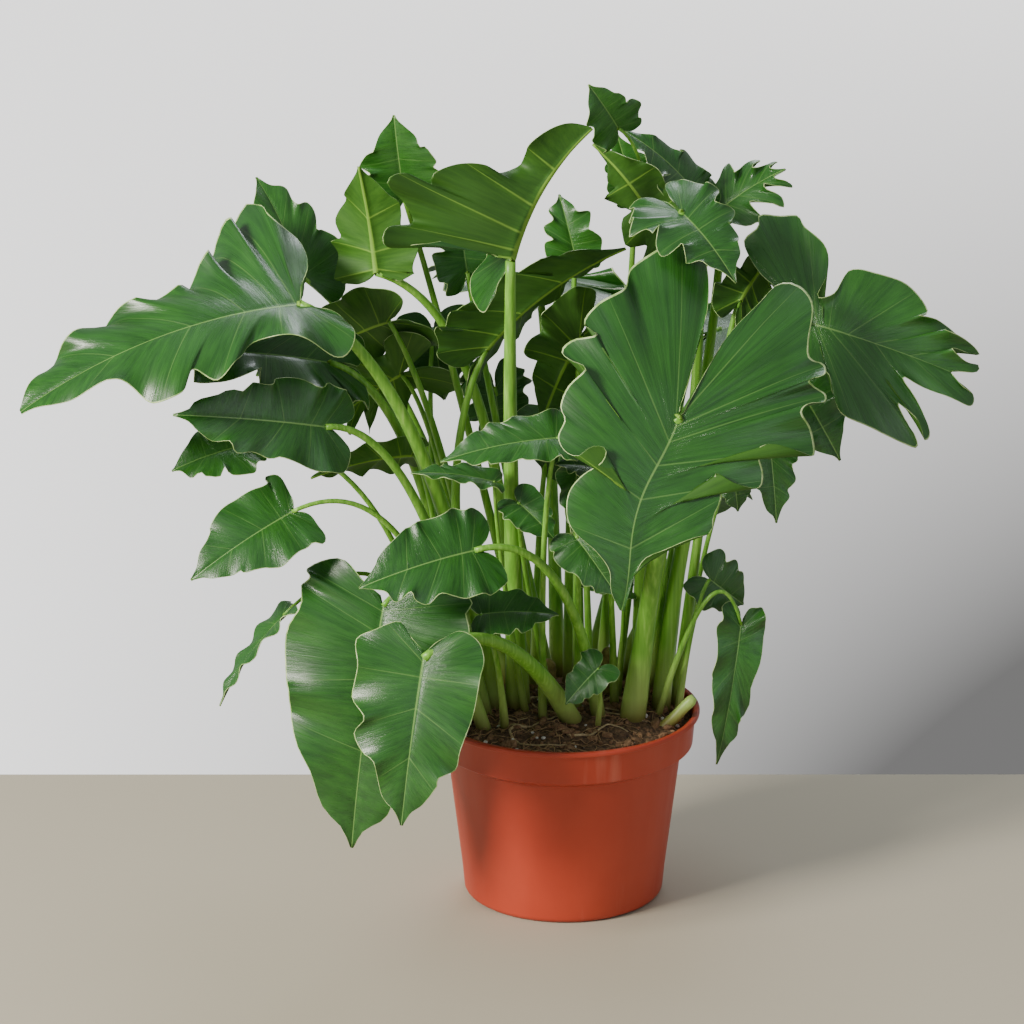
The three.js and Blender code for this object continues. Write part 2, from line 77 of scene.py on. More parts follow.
def newMaterial(name):
    material = bpy.data.materials.new(name)
    material.use_nodes = True
    tree = material.node_tree
    tree.nodes.clear()
    return material, tree


# shared by the upper and lower side of a blade
def leafBlade(name, look):
    material, tree = newMaterial(name)
    leafMap = addNode(tree, "UVMap", uv_map="leafMap").outputs["UV"]
    place = addNode(tree, "TexCoord").outputs["Object"]
    toRib = addNode(tree, "Attribute", attribute_name="toMidrib").outputs["Fac"]
    toLateral = addNode(tree, "Attribute", attribute_name="toLateral").outputs["Fac"]
    youth = addNode(tree, "Attribute", attribute_name="youth").outputs["Fac"]
    # fine parallel veins, about 0.7 mm apart, drawn along each lateral rib
    broad = addNode(tree, "Mapping", {"Vector": leafMap}, Scale=(2.0, 11.0, 1.0))
    streak = addNode(tree, "TexNoise", {"Vector": broad}, Scale=1.0, Detail=5.0, Roughness=0.65)
    fine = addNode(tree, "Mapping", {"Vector": leafMap}, Scale=(3.0, 55.0, 1.0))
    silk = addNode(tree, "TexNoise", {"Vector": fine}, Scale=1.0, Detail=3.0, Roughness=0.6)
    cloud = addNode(tree, "TexNoise", {"Vector": place}, Scale=22.0, Detail=3.0)
    grown = addNode(tree, "ValToRGB", {0: streak}, [(0.3, look["deep"]), (0.72, look["mid"])])
    fresh = addNode(tree, "ValToRGB", {0: streak},
                    [(0.3, look["young"]), (0.75, look["youngLight"])])
    base = addNode(tree, "Mix", {0: youth, 6: grown, 7: fresh}, data_type="RGBA")
    patches = addNode(tree, "ValToRGB", {0: cloud}, [(0.4, 0.0), (0.72, 1.0)])
    patches = addNode(tree, "Math", {0: patches, 1: look["cloud"]}, operation="MULTIPLY")
    base = addNode(tree, "Mix", {0: patches, 6: base, 7: look["cloudColour"]}, data_type="RGBA")
    # pale lateral ribs, then the midrib over them
    for distance, stops, strength in (
        (toLateral, [(0.0, 1.0), (look["lateralWidth"] / 3, 0.0)], look["lateral"]),
        (toRib, [(0.0, 1.0), (look["ribWidth"] / 5, 0.9), (look["ribWidth"] / 3, 0.0)], look["rib"]),
    ):
        near = addNode(tree, "Math", {0: distance, 1: 3.0}, operation="DIVIDE")
        vein = addNode(tree, "ValToRGB", {0: near}, stops)
        vein = addNode(tree, "Math", {0: vein, 1: strength}, operation="MULTIPLY")
        base = addNode(tree, "Mix", {0: vein, 6: base, 7: look["vein"]}, data_type="RGBA")
    gloss = addNode(tree, "ValToRGB", {0: silk},
                    [(0.3, look["rough"] - 0.05), (0.7, look["rough"] + 0.1)])
    low = addNode(tree, "Math", {0: streak, 1: 0.6}, operation="MULTIPLY")
    high = addNode(tree, "Math", {0: silk, 1: 0.4}, operation="MULTIPLY")
    height = addNode(tree, "Math", {0: low, 1: high}, operation="ADD")
    bump = addNode(tree, "Bump", {"Height": height}, Strength=look["bump"], Distance=0.5 * mm)
    shader = addNode(tree, "BsdfPrincipled",
                     {"Base Color": base, "Roughness": gloss, "Normal": bump},
                     IOR=look["ior"], Specular_IOR_Level=look["specular"])
    lit = addNode(tree, "Mix", {0: 0.55, 6: base, 7: look["glow"]}, data_type="RGBA")
    through = addNode(tree, "BsdfTranslucent", {"Color": lit})
    both = addNode(tree, "MixShader", {1: shader, 2: through}, Fac=look["through"])
    addNode(tree, "OutputMaterial", {"Surface": both})
    return material


leafLook = {"deep": "#103a0e", "mid": "#266119", "young": "#2a6e1a", "youngLight": "#4e942c",
            "vein": "#7fac58", "cloud": 0.3, "cloudColour": "#3a6a3a", "lateral": 0.4, "lateralWidth": 1.0,
            "rib": 0.75, "ribWidth": 1.0, "rough": 0.29, "bump": 0.8, "ior": 1.48, "specular": 0.7,
            "glow": "#7fb02a", "through": 0.14}
waxyLeaf = leafBlade("waxyLeafUpper", leafLook)  # cuticle over green: dark, with a soft grey sheen

underLook = dict(leafLook, deep="#264c12", mid="#3a681d", young="#3a761a", youngLight="#5b942b",
                 vein="#86b442", cloud=0.2, cloudColour="#557a3a", lateral=0.8, lateralWidth=1.5,
                 rib=0.95, ribWidth=2.0, rough=0.5, bump=0.35, specular=0.35, through=0.18)
paleUnderside = leafBlade("mattLeafUnderside", underLook)  # duller and yellower, ribs standing proud


def leafMarginWithPaintedHighlight():
    material, tree = newMaterial("paleLeafMarginWithPaintedHighlight")  # thin cartilage edge, partly its own paler tissue and partly a painted highlight: the bright line where the edge catches light
    place = addNode(tree, "TexCoord").outputs["Object"]
    speck = addNode(tree, "TexNoise", {"Vector": place}, Scale=160.0, Detail=2.0)
    colour = addNode(tree, "ValToRGB", {0: speck}, [(0.35, "#86ab5c"), (0.7, "#c2d69a")])
    shader = addNode(tree, "BsdfPrincipled", {"Base Color": colour}, Roughness=0.45)
    addNode(tree, "OutputMaterial", {"Surface": shader})
    return material


paleMarginWithPaintedHighlight = leafMarginWithPaintedHighlight()


def stalkSkin():
    material, tree = newMaterial("freshLeafStalk")  # smooth wet-looking skin, pale and browned at the foot
    place = addNode(tree, "TexCoord").outputs["Object"]
    along = addNode(tree, "Mapping", {"Vector": place}, Scale=(420.0, 420.0, 14.0))
    streak = addNode(tree, "TexNoise", {"Vector": along}, Scale=1.0, Detail=3.0)
    cloud = addNode(tree, "TexNoise", {"Vector": place}, Scale=26.0, Detail=2.0)
    green = addNode(tree, "ValToRGB", {0: streak},
                    [(0.3, "#58922a"), (0.55, "#77b03d"), (0.78, "#9fcd62")])
    patches = addNode(tree, "Math", {0: cloud, 1: 0.5}, operation="MULTIPLY")
    green = addNode(tree, "Mix", {0: patches, 6: green, 7: "#5b8f2c"}, data_type="RGBA")
    # the height in metres, a little uneven, sets where the skin pales and where it is soiled
    height = addNode(tree, "SeparateXYZ", {0: place}).outputs["Z"]
    wobble = addNode(tree, "Math", {0: cloud, 1: 0.5}, operation="SUBTRACT")
    wobble = addNode(tree, "Math", {0: wobble, 1: 0.02}, operation="MULTIPLY")
    level = addNode(tree, "Math", {0: height, 1: wobble}, operation="ADD")
    level = addNode(tree, "Math", {0: level, 1: 4.0}, operation="MULTIPLY")
    for pale, stained, strength, tint in ((0.6, 0.78, 0.65, "#bdd079"), (0.565, 0.63, 0.7, "#6b4a22")):
        part = addNode(tree, "ValToRGB", {0: level}, [(pale, 1.0), (stained, 0.0)])
        part = addNode(tree, "Math", {0: part, 1: strength}, operation="MULTIPLY")
        green = addNode(tree, "Mix", {0: part, 6: green, 7: tint}, data_type="RGBA")
    bump = addNode(tree, "Bump", {"Height": streak}, Strength=0.3, Distance=0.3 * mm)
    shader = addNode(tree, "BsdfPrincipled", {"Base Color": green, "Normal": bump},
                     Roughness=0.38, IOR=1.42)
    addNode(tree, "OutputMaterial", {"Surface": shader})
    return material


freshStalk = stalkSkin()


def pottingMix(name, stops, scale, rough=0.95):
    material, tree = newMaterial(name)
    place = addNode(tree, "TexCoord").outputs["Object"]
    grain = addNode(tree, "TexNoise", {"Vector": place}, Scale=scale, Detail=6.0, Roughness=0.7)
    # the same noise as the bump darkens its hollows (painted shade) and pales its tops (painted highlight)
    colour = addNode(tree, "ValToRGB", {0: grain}, stops)
    bump = addNode(tree, "Bump", {"Height": grain}, Strength=0.8, Distance=1.2 * mm)
    shader = addNode(tree, "BsdfPrincipled", {"Base Color": colour, "Normal": bump},
                     Roughness=rough)
    addNode(tree, "OutputMaterial", {"Surface": shader})
    return material


# crumbly and matt, each with grain colour of its own, set darker in the bump's hollows as painted shade and
# paler on its tops as painted highlight
moistPeat = pottingMix("moistPeat", [(0.35, "#2e2116"), (0.5, "#58422d"), (0.68, "#8a6b4c")], 340.0)
shreddedBark = pottingMix("shreddedBark", [(0.3, "#55402c"), (0.55, "#8a694a"), (0.75, "#b39575")], 420.0)
dryFibre = pottingMix("dryCoirFibre", [(0.3, "#7c6040"), (0.55, "#a98a62"), (0.75, "#cbb48a")], 260.0)
perlite = pottingMix("expandedPerlite", [(0.3, "#b7b0a3"), (0.7, "#efece4")], 500.0)
rootSkin = pottingMix("driedRootSkin", [(0.3, "#8b7350"), (0.7, "#cdb98c")], 300.0, 0.7)
corkyStem = pottingMix("corkyOldStem", [(0.3, "#4e3a1d"), (0.5, "#7b6a34"), (0.72, "#97914d")], 130.0, 0.75)


def mouldedPlastic():
    material, tree = newMaterial("mouldedPolypropylene")  # terracotta-coloured, satin, scuffed by handling
    place = addNode(tree, "TexCoord").outputs["Object"]
    cloud = addNode(tree, "TexNoise", {"Vector": place}, Scale=9.0, Detail=4.0)
    grain = addNode(tree, "TexNoise", {"Vector": place}, Scale=900.0, Detail=2.0)
    drag = addNode(tree, "Mapping", {"Vector": place}, Scale=(60.0, 60.0, 4.0))
    scuff = addNode(tree, "TexNoise", {"Vector": drag}, Scale=1.0, Detail=4.0)
    colour = addNode(tree, "ValToRGB", {0: cloud}, [(0.3, "#a2331d"), (0.7, "#b44128")])
    worn = addNode(tree, "ValToRGB", {0: scuff}, [(0.62, 0.0), (0.8, 0.3)])
    colour = addNode(tree, "Mix", {0: worn, 6: colour, 7: "#c98068"}, data_type="RGBA")
    gloss = addNode(tree, "ValToRGB", {0: scuff}, [(0.3, 0.38), (0.7, 0.55)])
    bump = addNode(tree, "Bump", {"Height": grain}, Strength=0.12, Distance=0.2 * mm)
    shader = addNode(tree, "BsdfPrincipled",
                     {"Base Color": colour, "Roughness": gloss, "Normal": bump}, IOR=1.49)
    addNode(tree, "OutputMaterial", {"Surface": shader})
    return material


potPlastic = mouldedPlastic()


def addPiece(name, bm, materials, nodes):
    mesh = bpy.data.meshes.new(name)
    for face in bm.faces:
        face.smooth = True
    bm.to_mesh(mesh)
    bm.free()
    piece = bpy.data.objects.new(name, mesh)
    bpy.context.scene.collection.objects.link(piece)
    for material in materials:
        mesh.materials.append(material)
    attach(piece, "root")
    if nodes:
        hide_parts(*nodes)
    return piece


# a round stem along points: one ring is extruded from station to station, and both ends are closed
def sweep(bm, points, radii, sides, materialIndex):
    def station(i):
        ahead = (points[min(i + 1, len(points) - 1)] - points[max(i - 1, 0)]).normalized()
        return Matrix.Translation(points[i]) @ ahead.to_track_quat("Z", "Y").to_matrix().to_4x4()

    ring = bmesh.ops.create_circle(bm, cap_ends=True, radius=radii[0], segments=sides, matrix=station(0))
    cap = ring["verts"][0].link_faces[0]
    base = bmesh.ops.duplicate(bm, geom=[cap])
    foot = [g for g in base["geom"] if isinstance(g, bmesh.types.BMFace)][0]
    foot.normal_flip()
    made = [foot]
    before = station(0)
    for i in range(1, len(points)):
        after = station(i)
        grow = Matrix.Scale(radii[i] / radii[i - 1], 4)
        out = bmesh.ops.extrude_discrete_faces(bm, faces=[cap])
        cap = out["faces"][0]
        walls = {f for e in cap.edges for f in e.link_faces}
        made += list(walls - {cap})
        bmesh.ops.transform(bm, matrix=after @ grow @ before.inverted(), verts=cap.verts)
        before = after
    made.append(cap)
    made = [f for f in made if f.is_valid]
    verts = list({v for f in made for v in f.verts})
    bmesh.ops.remove_doubles(bm, verts=verts, dist=0.02 * mm)
    for face in {f for v in verts if v.is_valid for f in v.link_faces}:
        face.material_index = materialIndex


def bezier(start, middle, end, share):
    return start * (1 - share) ** 2 + middle * 2 * share * (1 - share) + end * share**2


pot = {"height": 145, "rimRadius": 101.5, "lipDepth": 4, "lipOverhang": 3, "rimBand": 27, "rimTaper": 2,
       "bandStep": 8.5, "shoulder": 4, "baseRadius": 75, "baseCorner": 5, "wall": 1.6, "floor": 2.6,
       "drainHoles": 8, "drainRadius": 4.5,
       "notches": 4, "notchStart": 127, "notchWidth": 22, "notchHeight": 1.6}
ground = {"drop": 8, "mound": 9, "rootDepth": 9}
soilTop = pot["height"] - ground["drop"] + ground["mound"]


def soilHeight(x, y):
    out = min(1.0, math.hypot(x, y) / pot["rimRadius"])
    return soilTop - ground["mound"] * out * out


# One side of a blade, from the cleft beside the stalk round to the tip: (along, across) the midrib. Backward
# distances are shares of the basal lobe, forward ones of the midrib, sideways ones of the half width.
margins = {
    "lobed": [(-0.2, 0.04), (-0.6, 0.09), (-0.93, 0.28), (-1.0, 0.54), (-0.8, 0.7), (-0.62, 0.7),
              (-0.42, 0.96), (-0.3, 0.84), (-0.14, 1.0), (0.0, 0.98), (0.06, 0.8), (0.12, 0.7),
              (0.22, 0.86), (0.34, 0.86), (0.38, 0.66), (0.38, 0.5), (0.5, 0.6), (0.6, 0.57), (0.63, 0.4),
              (0.72, 0.36), (0.82, 0.2), (0.91, 0.08), (1.0, 0.012)],
    "fingered": [(-0.2, 0.05), (-0.7, 0.2), (-1.0, 0.5), (-0.9, 0.85), (-0.5, 0.95), (-0.2, 0.8),
                 (0.02, 0.5), (0.2, 0.75), (0.35, 1.0), (0.44, 0.95), (0.4, 0.6), (0.42, 0.42),
                 (0.6, 0.62), (0.74, 0.74), (0.78, 0.64), (0.66, 0.4), (0.62, 0.28), (0.8, 0.36),
                 (0.95, 0.42), (0.97, 0.33), (0.84, 0.18), (0.82, 0.1), (0.92, 0.06), (1.0, 0.012)],
    "heart": [(-0.3, 0.05), (-0.8, 0.24), (-1.0, 0.52), (-0.86, 0.82), (-0.45, 0.98), (-0.08, 0.96),
              (0.06, 0.9), (0.18, 0.96), (0.32, 0.9), (0.4, 0.79), (0.5, 0.8), (0.6, 0.68), (0.65, 0.56),
              (0.74, 0.5), (0.83, 0.32), (0.91, 0.13), (1.0, 0.012)],
    "young": [(-0.3, 0.1), (-0.9, 0.35), (-1.0, 0.62), (-0.6, 0.84), (-0.2, 0.8), (0.0, 0.92), (0.18, 1.0),
              (0.32, 0.92), (0.37, 0.7), (0.48, 0.8), (0.6, 0.76), (0.65, 0.5), (0.78, 0.42), (0.88, 0.2),
              (0.94, 0.08), (1.0, 0.012)],
}
margins["narrow"] = margins["heart"]

leafKinds = {
    "lobed": dict(half=0.62, lobe=0.6, veins=4, ruffle=0.045, arch=35, fold=6, curl=-10, stalk=5,
                  across=13, perVein=14, youth=0.12),
    "fingered": dict(half=0.62, lobe=0.6, veins=4, ruffle=0.03, arch=25, fold=4, curl=-10, stalk=5,
                     across=12, perVein=16, youth=0.3),
    "heart": dict(half=0.46, lobe=0.3, veins=4, ruffle=0.035, arch=30, fold=8, curl=-12, stalk=3.6,
                  across=11, perVein=11, youth=0.15),
    "narrow": dict(half=0.28, lobe=0.14, veins=4, ruffle=0.05, arch=25, fold=12, curl=-8, stalk=2.8,
                   across=8, perVein=10, youth=0.2),
    "young": dict(half=0.46, lobe=0.26, veins=3, ruffle=0.05, arch=25, fold=12, curl=-10, stalk=3.6,
                  across=9, perVein=14, youth=0.4),
}

# the broadest leaves have margins of their own, as shares of the midrib on both axes
ownMargins = {
    "front_broad": dict(
        right=[(-0.06, 0.01), (-0.23, 0.0), (-0.39, 0.0), (-0.57, 0.0), (-0.8, 0.03), (-0.95, 0.1),
               (-0.99, 0.2), (-0.85, 0.31), (-0.72, 0.42), (-0.56, 0.43), (-0.44, 0.54), (-0.33, 0.58),
               (-0.28, 0.5), (-0.24, 0.61), (-0.17, 0.65), (-0.12, 0.59), (-0.09, 0.51), (0.01, 0.57),
               (0.11, 0.58), (0.17, 0.54), (0.26, 0.55), (0.32, 0.5), (0.33, 0.43), (0.27, 0.38),
               (0.26, 0.31), (0.33, 0.31), (0.41, 0.38), (0.51, 0.42), (0.62, 0.4), (0.69, 0.34),
               (0.75, 0.21), (0.82, 0.12), (0.92, 0.08), (1.0, 0.01)],
        left=[(-0.03, 0.02), (-0.17, 0.05), (-0.34, 0.09), (-0.51, 0.14), (-0.73, 0.25), (-0.88, 0.32),
              (-0.91, 0.42), (-0.81, 0.51), (-0.6, 0.53), (-0.5, 0.56), (-0.51, 0.64), (-0.44, 0.65),
              (-0.37, 0.58), (-0.36, 0.68), (-0.31, 0.69), (-0.25, 0.6), (-0.19, 0.58), (-0.14, 0.66),
              (-0.03, 0.71), (-0.01, 0.64), (0.0, 0.48), (0.05, 0.42), (0.14, 0.48), (0.22, 0.48),
              (0.24, 0.36), (0.22, 0.25), (0.32, 0.31), (0.42, 0.3), (0.5, 0.31), (0.56, 0.22),
              (0.65, 0.11), (0.72, 0.03), (0.82, 0.01), (0.92, 0.01), (1.0, 0.01)],
        arch=22, sway=0.07, veins=6, perVein=22, crimp=0.5),
    "right_fingered": dict(
        left=[(-0.13, 0.11), (-0.34, 0.21), (-0.49, 0.38), (-0.43, 0.48), (-0.45, 0.57), (-0.34, 0.59),
              (-0.24, 0.63), (-0.18, 0.56), (-0.03, 0.46), (0.02, 0.32), (0.0, 0.15), (0.09, 0.2),
              (0.14, 0.37), (0.3, 0.4), (0.49, 0.4), (0.63, 0.28), (0.57, 0.22), (0.72, 0.26),
              (0.86, 0.24), (0.73, 0.2), (0.93, 0.21), (1.04, 0.18), (0.81, 0.12), (0.93, 0.09),
              (1.03, 0.11), (1.02, 0.06), (0.87, 0.01)],
        right=[(-0.03, 0.05), (-0.1, 0.08), (-0.09, 0.18), (0.06, 0.24), (0.18, 0.26), (0.23, 0.35),
               (0.32, 0.46), (0.5, 0.48), (0.8, 0.49), (0.66, 0.36), (0.6, 0.3), (0.73, 0.34),
               (0.83, 0.43), (0.85, 0.37), (0.72, 0.25), (0.58, 0.15), (0.82, 0.15), (1.04, 0.14),
               (1.05, 0.07), (0.95, 0.06), (0.87, 0.01)],
        ribEnd=0.87, veins=6, perVein=18, crimp=0.5),
    "left_far": dict(
        right=[(-0.03, 0.08), (-0.1, 0.2), (-0.09, 0.3), (-0.02, 0.32), (-0.03, 0.41), (0.06, 0.44),
               (0.09, 0.36), (0.15, 0.43), (0.22, 0.38), (0.21, 0.28), (0.31, 0.3), (0.34, 0.22),
               (0.45, 0.24), (0.5, 0.2), (0.64, 0.27), (0.68, 0.2), (0.76, 0.15), (0.84, 0.17),
               (0.91, 0.09), (1.0, 0.01)],
        left=[(-0.05, 0.03), (-0.12, 0.08), (-0.13, 0.18), (-0.08, 0.24), (0.04, 0.2), (0.2, 0.14),
              (0.28, 0.2), (0.37, 0.25), (0.44, 0.19), (0.5, 0.26), (0.6, 0.24), (0.66, 0.13), (0.78, 0.1),
              (0.9, 0.06), (1.0, 0.01)],
        raised=[(1, 0.22, 0.42)], veins=5, perVein=18),
    "centre_top": dict(
        right=[(0.0, 0.12), (0.02, 0.36), (-0.06, 0.6), (-0.12, 0.84), (-0.04, 0.86), (0.03, 0.68),
               (0.1, 0.78), (0.15, 0.95), (0.22, 0.86), (0.22, 0.66), (0.28, 0.68), (0.38, 0.56),
               (0.44, 0.42), (0.44, 0.3), (0.54, 0.18), (0.6, 0.2), (0.68, 0.25), (0.82, 0.2),
               (0.92, 0.13), (1.0, 0.01)],
        left=[(-0.1, 0.05), (-0.3, 0.2), (-0.2, 0.4), (0.0, 0.38), (0.08, 0.3), (0.25, 0.38), (0.4, 0.32),
              (0.48, 0.2), (0.6, 0.25), (0.75, 0.2), (0.85, 0.12), (0.93, 0.06), (1.0, 0.01)],
        veins=5, perVein=18),
}

